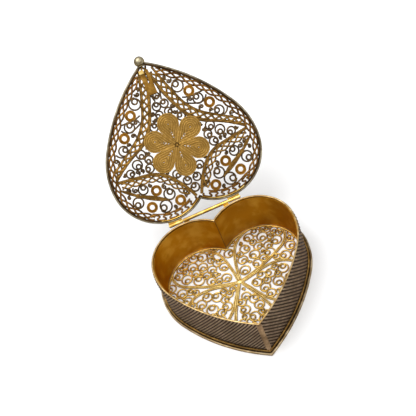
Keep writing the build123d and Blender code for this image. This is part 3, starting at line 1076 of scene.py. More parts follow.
SEAM_SILVER = Finish(
    "seam_silver", bright=(190, 160, 126), mid=(142, 116, 88), dark=(60, 46, 32),
    grain=0.5, rub=0.7, tarnish=0.4, shine=0.4,
)
# painted shade: the inner face of the lid's rim, which lies in shade
PAINTED_SHADE_SILVER = Finish(
    "painted_shade_silver", bright=(110, 84, 52), mid=(62, 44, 26), dark=(30, 20, 12),
    grain=0.4, rub=0.6, tarnish=0.4, shine=0.42,
)
# its heavy broad stains stand partly for tarnish and partly for painted shade on the barrel, spread
# at random
HINGE_GILT = Finish(
    "hinge_gilt", bright=(250, 226, 142), mid=(212, 170, 80), dark=(112, 72, 20),
    grain=0.4, rub=0.8, tarnish=0.8, shine=0.2,
)
# painted highlight: the lit copy of the catch's gilt, brighter than the plate because it faces the
# light
CATCH_HIGHLIGHT_GILT = Finish(
    "catch_gilt_painted_highlight", bright=(252, 238, 176), mid=(226, 190, 104), dark=(150, 106, 36),
    grain=0.5, rub=0.6, tarnish=0.35, shine=0.2,
)
# painted shade: the shaded copy of the catch's gilt, darker than the hook because it lies flat in
# the lid's plane
PLATE_SHADE_GILT = Finish(
    "plate_gilt_painted_shade", bright=(176, 134, 62), mid=(128, 92, 36), dark=(70, 46, 18),
    grain=0.5, rub=0.6, tarnish=0.45, shine=0.28,
)
KNOB_SILVER = Finish(
    "knob_silver", bright=(206, 196, 166), mid=(136, 122, 92), dark=(60, 48, 32),
    grain=0.5, rub=0.7, tarnish=0.4, shine=0.24,
)
RIM_GILT = Finish(
    "rim_gilt", bright=(228, 202, 150), mid=(178, 146, 94), dark=(94, 70, 38),
    grain=0.6, rub=0.7, tarnish=0.4, shine=0.28,
)
FLANGE_SILVER = Finish(
    "flange_silver", bright=(204, 186, 152), mid=(146, 124, 90), dark=(74, 56, 36),
    grain=0.3, rub=0.8, tarnish=0.45, shine=0.34,
)


def fit_piece(
    name: str,
    mesh: bpy.types.Mesh,
    bench: Bench,
    finish: Finish,
    nodes: tuple[str, ...] = (),
) -> bpy.types.Object:
    """Place a finished mesh on the box.

    Args:
        name: Name of the piece.
        mesh: Its mesh, in millimetres on its bench.
        bench: The bench that it was made on.
        finish: Its finish.
        nodes: CAD nodes that it stands for.

    Returns:
        The piece.
    """
    mesh.transform(bench.matrix())
    mesh.name = name
    piece = bpy.data.objects.new(name, mesh)
    bpy.context.scene.collection.objects.link(piece)
    mesh.materials.clear()
    mesh.materials.append(finish.material(bench))
    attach(piece, bench.body.value)
    if nodes:
        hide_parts(*nodes)
    log.info("%s: %d faces, rides on %s", name, len(mesh.polygons), bench.body.value)
    return piece


def dress_node(node: str, finish: Finish, bench: Bench) -> None:
    """Give a CAD node that stays its finish.

    Args:
        node: Name of the node.
        finish: Its finish.
        bench: Bench that the finish is laid out on.
    """
    piece = frame["nodes"][node]
    piece.data.materials.clear()
    piece.data.materials.append(finish.material(bench))
    log.info("%s: kept from the frame, %s", node, finish.name)


def heart_sweep(profile: list[tuple[float, float]]) -> bpy.types.Mesh:
    """Carry a section round the heart.

    Args:
        profile: Inset and height of each corner of the section, in order.

    Returns:
        A closed ring.
    """
    work = bmesh.new()
    places = HEART.loop(*profile[0])
    loop = bmesh.ops.create_circle(work, segments=len(places), radius=1)["verts"]
    for vert, place in zip(loop, places):
        vert.co = place
    for corner in profile[1:] + profile[:1]:
        edges = [work.edges.get((a, b)) for a, b in zip(loop, loop[1:] + loop[:1])]
        made = bmesh.ops.extrude_edge_only(work, edges=edges)["geom"]
        fresh = {item for item in made if isinstance(item, bmesh.types.BMVert)}
        beyond = [{edge.other_vert(vert) for edge in vert.link_edges} & fresh for vert in loop]
        loop = [found.pop() for found in beyond]
        for vert, place in zip(loop, HEART.loop(*corner)):
            vert.co = place
    bmesh.ops.remove_doubles(work, verts=work.verts, dist=WELD)
    bmesh.ops.recalc_face_normals(work, faces=work.faces)
    return finished(work, "sweep")


# ---------------------------------------------------------------- the lid


@dataclass
class LidFrame:
    """The flat silver band round the lid, a dark band of painted shade on its inner face, and the
    thumb knob.
    """

    bench: Bench
    clearance: float = 0.15
    height: float = 1.3
    knob_radius: float = 1.95
    knob_place: tuple[float, float] = (-0.8, 59.7)
    knob_sides: tuple[int, int] = (36, 24)
    collar_radius: float = 1.0
    collar_sides: int = 28
    collar_sink: float = 0.78
    collar_steps: tuple[tuple[float, float], ...] = ((1.3, 0.05), (1.3, 0.35), (0.77, 0.05))

    def rim(self) -> None:
        """The outer edge of the band, with its corners rounded off."""
        low, high = self.clearance, self.clearance + self.height
        profile = [
            (0.62, low + 0.12),
            (0.36, low),
            (0.14, low + 0.08),
            (0.0, low + 0.3),
            (0.0, high - 0.3),
            (0.14, high - 0.08),
            (0.4, high),
            (0.62, high - 0.12),
        ]
        mesh = heart_sweep(profile)
        fit_piece("lid_rim", mesh, self.bench, EDGE_SILVER, ("lid_band",))

    def painted_shade_band(self) -> None:
        """Painted shade: a dark band along the inner face of the rim, which the wires are soldered
        to.
        """
        low, high = self.clearance + 0.05, self.clearance + self.height - 0.05
        profile = [
            (0.58, low),
            (1.1, low),
            (1.2, low + 0.1),
            (1.2, high - 0.1),
            (1.1, high),
            (0.58, high),
        ]
        mesh = heart_sweep(profile)
        fit_piece("lid_rim_painted_shade", mesh, self.bench, PAINTED_SHADE_SILVER)

    def knob(self) -> None:
        """The ball at the tip, on a small collar."""
        work = bmesh.new()
        across, down = self.knob_place
        centre = Vector((across, -down, self.clearance + self.height / 2))
        round_sides, tall_sides = self.knob_sides
        bmesh.ops.create_uvsphere(
            work, u_segments=round_sides, v_segments=tall_sides, radius=self.knob_radius
        )
        bmesh.ops.translate(work, verts=work.verts, vec=centre)
        circle = bmesh.ops.create_circle(
            work, segments=self.collar_sides, radius=self.collar_radius
        )
        collar = circle["verts"]
        bmesh.ops.transform(work, verts=collar, matrix=Matrix.Rotation(math.radians(90), 4, "X"))
        root = centre + Vector((0, self.knob_radius * self.collar_sink, 0))
        bmesh.ops.translate(work, verts=collar, vec=root)
        edges = list(dict.fromkeys(edge for vert in collar for edge in vert.link_edges))
        for size, shift in self.collar_steps:
            made = bmesh.ops.extrude_edge_only(work, edges=edges)["geom"]
            collar = [item for item in made if isinstance(item, bmesh.types.BMVert)]
            edges = [item for item in made if isinstance(item, bmesh.types.BMEdge)]
            edges = [edge for edge in edges if all(vert in collar for vert in edge.verts)]
            middle = sum((vert.co for vert in collar), Vector()) / len(collar)
            about = Matrix.Translation(-middle)
            bmesh.ops.scale(work, vec=(size, 1, size), verts=collar, space=about)
            bmesh.ops.translate(work, verts=collar, vec=(0, shift, 0))
        bmesh.ops.recalc_face_normals(work, faces=work.faces)
        mesh = finished(work, "knob")
        fit_piece("ball_knob", mesh, self.bench, KNOB_SILVER, ("thumb_knob",))

    def build(self) -> None:
        """Make the band and the knob."""
        self.rim()
        self.painted_shade_band()
        self.knob()


@dataclass
class LidBorder:
    """The border inside the band: a plait down each side and looped wire round the lobes."""

    bench: Bench
    level: float = 0.75
    wire: Gauge = Gauge(0.74, 0.74)
    loop_wire: Gauge = Gauge(0.7, 0.7)
    rail_wire: Gauge = Gauge(0.64, 0.68)
    outer_inset: float = 0.95
    inner_inset: float = 3.75
    plait_start: float = 0.235
    plait_stop: float = 0.955
    plait_unit: float = 4.0
    loop_start: float = 0.03
    loop_stop: float = 0.245
    loop_pitch: float = 4.3
    loop_inset: float = 3.45
    loop_swing: float = 112
    loop_sides: int = 22
    rail_start: float = 0.06
    gilt_wire: Gauge = Gauge(0.5, 0.5)
    gilt_level: float = 0.32
    gilt_span: tuple[float, float] = (0.01, 0.2)

    def plaits(self, work: WireWork) -> None:
        """The plait down each side.

        Args:
            work: Piece that the wires are drawn in.
        """
        middle = (self.inner_inset + self.outer_inset) / 2
        line = HEART.row(self.plait_start, self.plait_stop, middle, 1.0)
        width = self.inner_inset - self.outer_inset
        for side in both(line):
            work.plait(self.wire, side, self.level, width, self.plait_unit)

    def loops(self, work: WireWork) -> None:
        """One wire bent in open loops against the band, and the wire that they hang from.

        Args:
            work: Piece that the wires are drawn in.
        """
        swing = math.radians(self.loop_swing)
        cell: list[tuple[float, float]] = [(0.0, 0.0)]
        for step in range(self.loop_sides):
            angle = swing * math.cos(2 * math.pi * (step + 0.5) / self.loop_sides)
            cell.append((cell[-1][0] + math.cos(angle), cell[-1][1] + math.sin(angle)))
        wide = cell[-1][0]
        top, bottom = max(y for _, y in cell), min(y for _, y in cell)
        tall, base = top - bottom, (top + bottom) / 2
        middle = (self.loop_inset + self.outer_inset) / 2
        reach = self.loop_inset - self.outer_inset - self.loop_wire.width
        span = self.loop_stop - self.loop_start
        count = round(HEART.side_length(middle) * span / self.loop_pitch)
        line: Line = []
        for number in range(count):
            for x, y in cell[: -1 if number < count - 1 else None]:
                share = self.loop_start + span * (number + x / wide) / count
                place, outward = HEART.place(share, middle)
                line.append(place + outward * reach * (y - base) / tall)
        rail = HEART.row(self.rail_start, self.loop_stop + 0.01, self.loop_inset + 0.1, 1.0)
        for side in both(line):
            work.draw(self.loop_wire, side, self.level)
        for side in both(rail):
            work.draw(self.rail_wire, side, self.level)

    def gilt_edge(self) -> None:
        """The bright line of gilding along the band between the hinge's leaves."""
        work = WireWork("lid_gilt_edge")
        for side in both(HEART.row(*self.gilt_span, 0.98, 1.0)):
            work.draw(self.gilt_wire, side, self.gilt_level)
        fit_piece(work.name, work.mesh(), self.bench, HINGE_GILT)

    def build(self) -> list[Line]:
        """Make the border and tell where its wires run.

        Returns:
            Centre lines of the border's wires.
        """
        work = WireWork("lid_border_wires")
        self.plaits(work)
        self.loops(work)
        nodes = ("lid_lattice_inner", "lid_lattice_outer")
        fit_piece(work.name, work.mesh(), self.bench, LATTICE_GILT, nodes)
        self.gilt_edge()
        return work.lines()


@dataclass
class LidBands:
    """The twisted wires that divide the lid, with plaited wires along them."""

    bench: Bench
    level: float = 0.72
    thick: Rope = Rope(0.19, 1.0)
    thin: Rope = Rope(0.18, 0.95)
    plait_wire: Gauge = Gauge(0.76, 0.76)
    braid_wire: Gauge = Gauge(0.68, 0.68)
    plait_size: tuple[float, float] = (3.1, 3.0)
    tie_size: tuple[float, float] = (2.6, 2.2)
    braid_size: tuple[float, float] = (2.9, 3.3)

    def ropes(self, work: WireWork, line: Line, rope: Rope, gaps: tuple[float, ...]) -> None:
        """Ropes side by side along a line, on both halves.

        Args:
            work: Piece that the ropes are drawn in.
            line: Line that they follow.
            rope: How each is twisted.
            gaps: How far to the left of the line each one lies.
        """
        for gap in gaps:
            for side in both(beside(line, gap)):
                work.twist(rope, side, self.level)

    def upper(self) -> list[Line]:
        """The bands from the tip to the widest part: two lines with a plait between them.

        Returns:
            Centre lines of the bands' wires.
        """
        work = WireWork("lid_upper_bands")
        start = spots((1.0, 53.6), (2.6, 56.2), (1.9, 54.8))
        inner = bent_wire(start[0], 79, spots((6.3, 37.6), (14.8, 29.6), (26.6, 22.6)))
        outer = bent_wire(start[1], 74, spots((7.4, 42.0), (15.0, 32.6), (26.0, 25.7)))
        between = bent_wire(start[2], 77, spots((6.9, 39.8), (14.9, 31.1), (26.0, 24.2)))
        self.ropes(work, walk(inner, 5), self.thick, (-0.31, 0.0, 0.31))
        self.ropes(work, walk(outer, 5), self.thin, (-0.2, 0.14))
        for side in both(walk(between, 5)):
            work.plait(self.plait_wire, side, self.level, *self.plait_size)
        tie = spots((-0.3, 46.6), (-0.3, 57.6))
        work.plait(self.plait_wire, tie, self.level + 0.1, *self.tie_size)
        nodes = ("lid_upper_band_left", "lid_upper_band_right")
        fit_piece(work.name, work.mesh(), self.bench, BAND_GILT, nodes)
        return work.lines()

    def lower(self) -> list[Line]:
        """The bands round the two lower panels: a double line with a plait inside it.

        Returns:
            Centre lines of the bands' wires.
        """
        work = WireWork("lid_lower_bands")
        start, *stops = spots((26.6, 21.7), (15.0, 20.0), (7.0, 15.5), (1.1, 5.6))
        line = walk(bent_wire(start, 172, stops), 5)
        self.ropes(work, line, self.thick, (-0.3, 0.0, 0.3))
        for side in both(beside(line, -1.75)[1:-2]):
            work.plait(self.braid_wire, side, self.level, *self.braid_size)
        nodes = ("lid_lower_band_left", "lid_lower_band_right")
        fit_piece(work.name, work.mesh(), self.bench, BAND_GILT, nodes)
        return work.lines()

    def build(self) -> list[Line]:
        """Make the upper and the lower bands and tell where their wires run."""
        return self.upper() + self.lower()


@dataclass
class LidScrolls:
    """Scrolls, rosettes and spines that fill the panels and the field of the lid."""

    bench: Bench
    wires: list[Line]
    level: float = 0.72
    wire: Gauge = Gauge(0.66, 0.68)
    ring: Gauge = Gauge(0.4, 0.62)
    rosette_radius: float = 2.15
    rosette_turns: int = 3
    knot_wire: Gauge = Gauge(0.54, 0.66)
    knot_radii: tuple[float, float] = (0.3, 0.74)
    smallest_eye: float = 1.5
    room: float = 0.3
    upper_scrolls: tuple[Row, ...] = (
        (8.6, 46.2, 2.6, 250),
        (13.9, 39.0, 2.3, 250),
        (19.5, 31.8, 2.2, 200),
        (23.7, 28.9, 1.3, 90),
        (5.6, 50.7, 1.0, 60),
    )
    lower_scrolls: tuple[Row, ...] = (
        (13.4, 6.6, 2.7, 20),
        (10.2, 10.3, 2.5, 240),
        (22.5, 11.8, 2.4, 60),
        (18.7, 15.7, 2.2, 250),
        (24.0, 17.4, 1.1, 90),
        (4.4, 8.4, 1.5, 80),
    )
    field_scrolls: tuple[Row, ...] = (
        (1.5, 42.2, 1.9, 260),
        (1.9, 38.9, 1.8, 30),
        (5.5, 35.4, 1.9, 240),
        (13.2, 22.1, 2.0, 10),
        (17.0, 25.0, 2.2, 110),
        (12.2, 25.2, 1.9, 60),
        (14.2, 28.0, 2.1, 90),
        (20.7, 22.9, 1.9, 150),
        (4.7, 16.0, 1.9, 120),
        (1.9, 12.3, 1.9, 250),
        (8.0, 33.4, 1.2, 60),
        (4.2, 40.2, 1.1, 0),
        (11.1, 29.9, 1.0, 30),
        (22.9, 23.4, 1.0, 0),
        (7.4, 17.9, 1.1, 180),
    )
    middle_scrolls: tuple[Row, ...] = ((-0.3, 8.9, 2.0, 250), (0.0, 45.9, 1.5, 90))
    rosettes: tuple[tuple[float, float], ...] = (
        (11.9, 42.8),
        (17.4, 36.0),
        (14.3, 13.4),
        (18.3, 8.2),
        (7.3, 6.5),
    )

    def scrolls(
        self,
        name: str,
        rows: tuple[Row, ...],
        nodes: tuple[str, ...] = (),
        single: tuple[Row, ...] = (),
        arcs: tuple[list[Bend], ...] = (),
    ) -> None:
        """One piece of scrolls on both halves.

        Args:
            name: Name of the piece.
            rows: Across, down, radius and facing of each pair of scrolls.
            nodes: CAD nodes that it stands for.
            single: Scrolls on the middle line.
            arcs: Plain bent wires on both halves.
        """
        work = WireWork(name)
        for across, down, radius, facing in rows:
            winding = Winding.suited(radius, self.smallest_eye)
            scroll = Scroll(across, down, radius, facing, winding=winding)
            for side in both(scroll.line(self.wire.width)):
                work.draw(self.wire, side, self.level)
        for row in single:
            work.draw(self.wire, Scroll(*row).line(self.wire.width), self.level)
        for arc in arcs:
            for side in both(walk(arc, 8)):
                work.draw(self.wire, side, self.level)
        fit_piece(name, work.mesh(), self.bench, SCROLL_GILT, nodes)

    def coils(self) -> None:
        """Rosettes of wire coiled flat round an open eye."""
        work = WireWork("rosette_coils")
        for across, down in self.rosettes:
            for side in (1, -1):
                centre = Vector((side * across, -down, 0))
                for number in range(self.rosette_turns):
                    radius = self.rosette_radius - self.ring.width * (number + 0.5)
                    lift = 0.05 if number == 1 else 0.0
                    work.draw(self.ring, ring(centre, radius, 15), self.level + lift, True)
        nodes = ("lid_rosettes",)
        fit_piece(work.name, work.mesh(), self.bench, ROSETTE_GILT, nodes)

    def spines(self) -> None:
        """A knot in each lower panel, with a leaf of wire on either side of it."""
        work = WireWork("panel_spines")
        knot, inward, outward = spots((21.5, 14.2), (11.4, 8.3), (26.6, 18.6))
        rope = Rope(0.22, 1.1)
        for radius in self.knot_radii:
            for side in both(ring(knot, radius, 24)):
                work.draw(self.knot_wire, side, self.level, True)
        leaves = (
            bent_wire(knot, 138, [inward]),
            bent_wire(knot, 150.8, [inward]),
            bent_wire(knot, 161, [inward]),
            bent_wire(knot, -31, [outward]),
            bent_wire(knot, -51, [outward]),
        )
        for leaf in leaves:
            for side in both(walk(leaf, 6)):
                work.twist(rope, side, self.level)
        self.wires = self.wires + work.lines()
        fit_piece(work.name, work.mesh(), self.bench, BAND_GILT, ("lid_spines",))

    def kept_clear(self) -> list[tuple[Vector, float]]:
        """Round places that the joining scrolls keep out of.

        Returns:
            Centre and radius of each place.
        """
        flower = Flower(self.bench)
        ways = [compass(90 + 360 * petal / flower.petals) for petal in range(flower.petals)]
        discs = [(flower.centre + way * flower.reach, flower.radius + self.room) for way in ways]
        discs.append((flower.centre, flower.reach * 0.8))
        discs += [(centre, self.rosette_radius + self.room) for centre in spots(*self.rosettes)]
        known = self.upper_scrolls + self.lower_scrolls + self.field_scrolls + self.middle_scrolls
        return discs + [(Vector((across, -down, 0)), radius) for across, down, radius, _ in known]

    def joining(self) -> None:
        """Small scrolls in the openings that are left."""
        openings = Openings(3.9, self.wires, self.kept_clear(), least=0.6)
        self.scrolls("lid_joining_scrolls", tuple(openings.rows(1.2)))

    def build(self) -> None:
        """Make all the filling."""
        lens = (
            bent_wire(spots((8.9, 39.2))[0], 30, spots((13.4, 37.3), (17.3, 39.1))),
            bent_wire(spots((8.6, 41.6))[0], 25, spots((12.6, 40.8), (16.6, 40.9))),
            bent_wire(spots((19.6, 29.7))[0], 10, spots((22.8, 31.6))),
        )
        panel = ("lid_scrolls_upper",)
        self.scrolls("upper_panel_scrolls", self.upper_scrolls, panel, arcs=lens)
        self.scrolls("lower_panel_scrolls", self.lower_scrolls, ("lid_scrolls_lower",))
        stems = (
            bent_wire(spots((1.2, 44.0))[0], -75, spots((2.1, 48.2), (1.6, 52.6))),
            bent_wire(spots((3.2, 44.2))[0], -112, spots((1.7, 48.6))),
        )
        field_node = ("lid_scrolls_field",)
        self.scrolls(
            "field_scrolls", self.field_scrolls, field_node, self.middle_scrolls, stems
        )
        self.coils()
        self.spines()
        self.joining()


@dataclass
class Flower:
    """Six petals wound of one fine wire each, and the coil that they are soldered to."""

    bench: Bench
    level: float = 0.72
    centre: Vector = Vector((-0.2, -26.2, 0))
    petals: int = 6
    reach: float = 8.35
    radius: float = 4.12
    wire: Gauge = Gauge(0.4, 0.66)
    drawn: Gauge = Gauge(0.47, 0.84)
    boss_wire: Gauge = Gauge(0.34, 0.6)
    boss_rings: tuple[tuple[float, float], ...] = ((0.46, -0.22), (0.8, -0.16))
    roots: tuple[float, ...] = (0.2, 0.85, 1.5, 2.3, 3.3, 4.4, 5.3, 6.1, 6.8, 7.4)

    def winding(self, number: int, turn: float) -> Line:
        """One turn of a petal's wire.

        Args:
            number: Count from the outside.
            turn: Degrees that the petal is turned.

        Returns:
            The closed line.
        """
        radius = self.radius - self.wire.width * (number + 0.5)
        root = min(self.roots[number], self.reach - radius - 0.2)
        lean = math.degrees(math.acos(radius / (self.reach - root)))
        heading = compass(turn)
        bend = Bend(self.centre + heading * self.reach, radius, turn - 180 + lean, 360 - 2 * lean)
        arc = walk([bend], 14)
        foot = self.centre + heading * root
        last = [arc[-1].lerp(foot, share) for share in (0.5, 0.93)]
        first = [foot.lerp(arc[0], share) for share in (0.07, 0.5)]
        return arc + last + [foot] + first

    def build(self) -> None:
        """Make the petals and the boss."""
        work = WireWork("flower_petals")
        turns = int(self.radius / self.wire.width)
        for petal in range(self.petals):
            for number in range(turns):
                lift = 0.09 if number % 2 else 0.0
                line = self.winding(number, 90 + 360 * petal / self.petals)
                work.draw(self.drawn, line, self.level + lift, True)
        nodes = ("lid_flower_petals",)
        fit_piece(work.name, work.mesh(), self.bench, PETAL_GILT, nodes)
        boss = WireWork("flower_boss")
        for radius, lift in self.boss_rings:
            boss.draw(self.boss_wire, ring(self.centre, radius, 18), self.level + lift, True)
        fit_piece(boss.name, boss.mesh(), self.bench, BOSS_GILT, ("lid_flower_boss",))


# ---------------------------------------------------------------- the box


@dataclass
class BoxWalls:
    """The corded walls, the seams at tip and notch, the rim, the flange and the foot rope."""

    bench: Bench
    inset: float = 1.9
    foot: float = 1.45
    top: float = 18.4
    ridge_pitch_right: float = 1.57
    ridge_pitch_left: float = 1.32
    lean: float = 0.79
    relief: float = 0.34
    rise: int = 12
    slices: int = 8
    taper: float = 0.9
    roundness: float = 0.7
    sink: float = 0.02
    seam_gap: float = 0.12
    back: float = 0.1
    seam_strands: Rope = Rope(0.25, 1.0)
    foot_strands: Rope = Rope(0.22, 1.2)
    foot_inset: float = 1.25
    foot_level: float = 1.28
    notch_inset: float = 2.45

    def cording(self, side: int) -> bpy.types.Mesh:
        """A sheet of slanting cords, laid out flat, trimmed and bent round the wall.

        Args:
            side: 1 for the right half and -1 for the left.

        Returns:
            The sheet.
        """
        length = HEART.side_length(self.inset)
        height = self.top - self.foot
        pitch = self.ridge_pitch_right if side > 0 else self.ridge_pitch_left
        ridges = math.ceil((length + self.lean * height) / pitch)
        work = bmesh.new()
        bmesh.ops.create_grid(work, x_segments=ridges * self.slices, y_segments=self.rise, size=0.5)
        loops = work.loops.layers.uv.verify()
        for vert in work.verts:
            count, level = (vert.co.x + 0.5) * ridges, (vert.co.y + 0.5) * height
            crown = abs(math.sin(math.pi * count)) ** self.roundness
            swell = crown * min(1.0, (height - level) / self.taper)
            for loop in vert.link_loops:
                loop[loops].uv = (count, level * math.hypot(1, self.lean))
            vert.co = (count * pitch - self.lean * level, level + self.foot, swell * self.relief)
        for place, way in ((self.seam_gap, -1), (length, 1)):
            bmesh.ops.bisect_plane(
                work,
                geom=work.verts[:] + work.edges[:] + work.faces[:],
                dist=1e-5,
                plane_co=(place, 0, 0),
                plane_no=(way, 0, 0),
                clear_outer=True,
            )
        for vert in work.verts:
            place, outward = HEART.place(1 - vert.co.x / length, self.inset)
            level = vert.co.y
            vert.co = place + outward * (vert.co.z - self.sink) + Vector((0, 0, level))
            vert.co.x *= side
        if side > 0:
            bmesh.ops.reverse_faces(work, faces=work.faces)
        return finished(work, "cording")

    def seam(self) -> None:
        """The twisted wires that cover the joint at the tip."""
        work = WireWork("tip_seam")
        place, _ = HEART.place(1, self.inset - 0.15)
        post = [Vector((0, 0, 0)), Vector((self.top - self.foot, 0, 0))]
        thick = 2 * self.seam_strands.strand
        for shift, back in ((-0.48, 0.24), (0.0, 0.0), (0.48, 0.24)):
            foot = Vector((place.x + shift, place.y + back, self.foot))
            for strand in self.seam_strands.lay(post, 0):
                upright = [foot + Vector((spot.y, spot.z, spot.x)) for spot in strand]
                work.draw(Gauge(thick, thick), upright, 0)
        fit_piece(work.name, work.mesh(), self.bench, SEAM_SILVER)

    def notch_seam(self) -> None:
        """The soldered joint of the wall sheets inside the notch."""
        work = WireWork("notch_seam")
        place, _ = HEART.place(0, self.notch_inset)
        for shift, width in ((0.3, 0.36), (-0.1, 0.3)):
            post = [Vector((shift, place.y - 0.05, level)) for level in (1.0, self.top - 0.3)]
            work.draw(Gauge(width, width), post, 0)
        fit_piece(work.name, work.mesh(), self.bench, FOOT_GILT)

    def rims(self) -> None:
        """The rim, the flange with its raised edge, and the floor's frame."""
        rim = [(1.92, 18.26), (1.92, 18.58), (2.02, 18.7), (2.4, 18.7), (2.5, 18.58), (2.5, 18.26)]
        mesh = heart_sweep(rim)
        fit_piece("wall_rim", mesh, self.bench, RIM_GILT, ("wall_top_wire",))
        flange = [
            (2.72, 0.0),
            (0.12, 0.0),
            (0.0, 0.14),
            (0.0, 0.9),
            (0.12, 1.05),
            (0.6, 1.05),
            (0.7, 0.9),
            (2.72, 0.9),
        ]
        mesh = heart_sweep(flange)
        fit_piece("base_flange", mesh, self.bench, FLANGE_SILVER, ("base_band",))
        ledge = [(2.7, 0.0), (2.7, 0.75), (3.2, 0.75), (3.36, 0.6), (3.36, 0.1), (3.2, 0.0)]
        fit_piece("floor_frame", heart_sweep(ledge), self.bench, FLOOR_GILT)

    def ropes(self) -> None:
        """The twisted wire at the foot of the walls."""
        foot = WireWork("foot_rope")
        line = HEART.loop(self.foot_inset, 0, (60, 22, 30))
        foot.twist(self.foot_strands, line, self.foot_level, True)
        fit_piece(foot.name, foot.mesh(), self.bench, FOOT_GILT, ("foot_wire",))

    def build(self) -> None:
        """Make everything of the box but its floor."""
        for side, half in ((1, "right"), (-1, "left")):
            name = f"wall_cording_{half}"
            piece = fit_piece(name, self.cording(side), self.bench, CORD_SILVER)
            shell = piece.modifiers.new("back", "SOLIDIFY")
            shell.thickness = self.back * MM
            shell.offset = -1.0
        self.seam()
        self.notch_seam()
        self.rims()
        self.ropes()


@dataclass
class Floor:
    """Ribs, scrolls and boss of the openwork floor."""

    bench: Bench
    level: float = 0.37
    rope: Rope = Rope(0.18, 0.95)
    wire: Gauge = Gauge(0.66, 0.66)
    rib_gaps: tuple[float, float] = (-0.3, 0.3)
    smallest_eye: float = 1.4
    solder_size: tuple[float, float, float] = (1.25, 1.05, 0.5)
    right_scrolls: tuple[Row, ...] = (
        (3.2, 5.9, 1.8, 45),
        (10.0, 6.7, 2.3, 200),
        (16.4, 5.2, 1.5, 240),
        (15.1, 8.8, 2.5, 260),
        (20.2, 8.0, 1.9, 270),
        (6.8, 11.0, 2.3, 0),
        (12.0, 12.3, 2.1, 315),
        (19.4, 13.0, 2.5, 215),
        (4.3, 15.6, 2.3, 300),
        (9.4, 15.4, 2.4, 210),
        (15.0, 17.2, 2.4, 170),
        (3.6, 20.5, 2.4, 250),
        (9.0, 19.8, 2.3, 210),
        (6.0, 7.8, 1.1, 90),
        (12.9, 15.6, 1.0, 0),
        (6.7, 17.6, 0.9, 0),
        (16.9, 12.0, 0.9, 0),
        (23.4, 17.9, 2.4, 300),
        (26.1, 12.6, 2.0, 330),
        (25.3, 8.7, 1.3, 90),
        (20.0, 21.4, 2.4, 180),
        (12.0, 26.4, 2.3, 160),
        (17.1, 26.6, 2.4, 80),
        (5.8, 27.9, 2.2, 180),
        (13.4, 31.2, 2.5, 260),
        (8.0, 31.5, 2.3, 260),
        (17.6, 31.2, 1.6, 60),
        (12.2, 35.8, 1.8, 30),
        (16.0, 35.2, 1.4, 200),
        (9.0, 39.4, 1.3, 60),
        (12.9, 39.4, 1.5, 90),
        (10.0, 43.8, 1.7, 60),
        (3.2, 37.5, 2.2, 280),
        (4.6, 42.2, 1.5, 200),
        (2.6, 46.3, 1.8, 100),
        (6.0, 46.4, 1.3, 300),
    )
    left_scrolls: tuple[Row, ...] = (
        (-3.6, 6.1, 2.1, 90),
        (-9.8, 6.5, 2.4, 180),
        (-16.4, 5.0, 1.7, 60),
        (-14.8, 9.2, 2.4, 260),
        (-7.0, 9.7, 1.8, 330),
        (-11.1, 11.1, 2.3, 260),
        (-19.7, 8.2, 1.8, 30),
        (-18.5, 13.6, 2.5, 270),
        (-14.3, 16.4, 2.5, 90),
        (-8.1, 14.0, 2.2, 270),
        (-3.5, 15.0, 2.2, 260),
        (-9.9, 18.9, 2.2, 300),
        (-4.2, 20.4, 2.3, 280),
        (-6.3, 17.2, 0.9, 0),
        (-12.3, 14.2, 0.9, 0),
        (-3.2, 11.0, 1.2, 90),
        (-25.6, 10.6, 1.5, 0),
        (-25.4, 14.9, 2.1, 180),
        (-22.2, 19.0, 2.4, 260),
        (-21.2, 23.6, 2.3, 190),
        (-17.2, 21.0, 1.6, 150),
        (-16.8, 27.3, 2.4, 260),
        (-10.2, 26.9, 2.4, 120),
        (-5.6, 27.8, 1.8, 60),
        (-13.6, 31.4, 2.6, 90),
        (-8.0, 32.7, 2.2, 180),
        (-17.4, 33.0, 1.9, 90),
        (-20.6, 29.2, 1.5, 200),
        (-11.9, 37.2, 2.0, 200),
        (-15.3, 36.9, 1.3, 40),
        (-12.4, 41.3, 1.7, 90),
        (-9.4, 44.2, 1.5, 60),
        (-2.3, 37.1, 2.2, 170),
        (-4.9, 42.2, 1.9, 270),
        (-2.8, 46.8, 1.7, 100),
        (-6.3, 46.7, 1.2, 300),
    )
    middle_scrolls: tuple[Row, ...] = (
        (0.4, 10.0, 2.3, 340),
        (0.0, 31.8, 2.1, 260),
        (0.0, 41.5, 2.4, 180),
        (0.0, 50.7, 1.9, 90),
        (0.0, 28.4, 0.9, 270),
    )

    def ribs(self) -> list[Line]:
        """Pairs of twisted wires that outline the petals.

        Returns:
            Centre lines of the ribs' wires.
        """
        work = WireWork("floor_rib_ropes")
        crossing = spots((0.4, 24.6), (0.9, 24.9), (0.5, 25.2), (0.7, 25.9))
        petal = spots((2.6, 10.5), (8.2, 3.9), (19.6, 3.9), (23.6, 9.4), (20.2, 16.6), (1.0, 24.4))
        side_rib = spots((9.0, 23.0), (15.5, 22.5), (23.9, 28.9))
        outer, inner = spots((4.9, 32.7), (14.5, 41.5)), spots((5.0, 34.6), (8.5, 46.9))
        headings = (89, 12, -57, -62)
        for start, heading, stops in zip(crossing, headings, (petal, side_rib, outer, inner)):
            line = walk(bent_wire(start, heading, stops), 6)
            for gap in self.rib_gaps:
                for side in both(beside(line, gap)):
                    work.twist(self.rope, side, self.level)
        nodes = ("floor_upper_petals", "floor_side_ribs", "floor_lower_ribs")
        fit_piece(work.name, work.mesh(), self.bench, RIB_GILT, nodes)
        return work.lines()

    def wound(self, number: int, row: Row) -> Line:
        """Centre line of a scroll. Every other one winds the other way.

        Args:
            number: Count of the scroll.
            row: Its across, down, radius and facing.

        Returns:
            The line.
        """
        hand = Hand.RIGHT if number % 2 else Hand.LEFT
        winding = Winding.suited(row[2], self.smallest_eye)
        return Scroll(*row, hand, winding).line(self.wire.width)

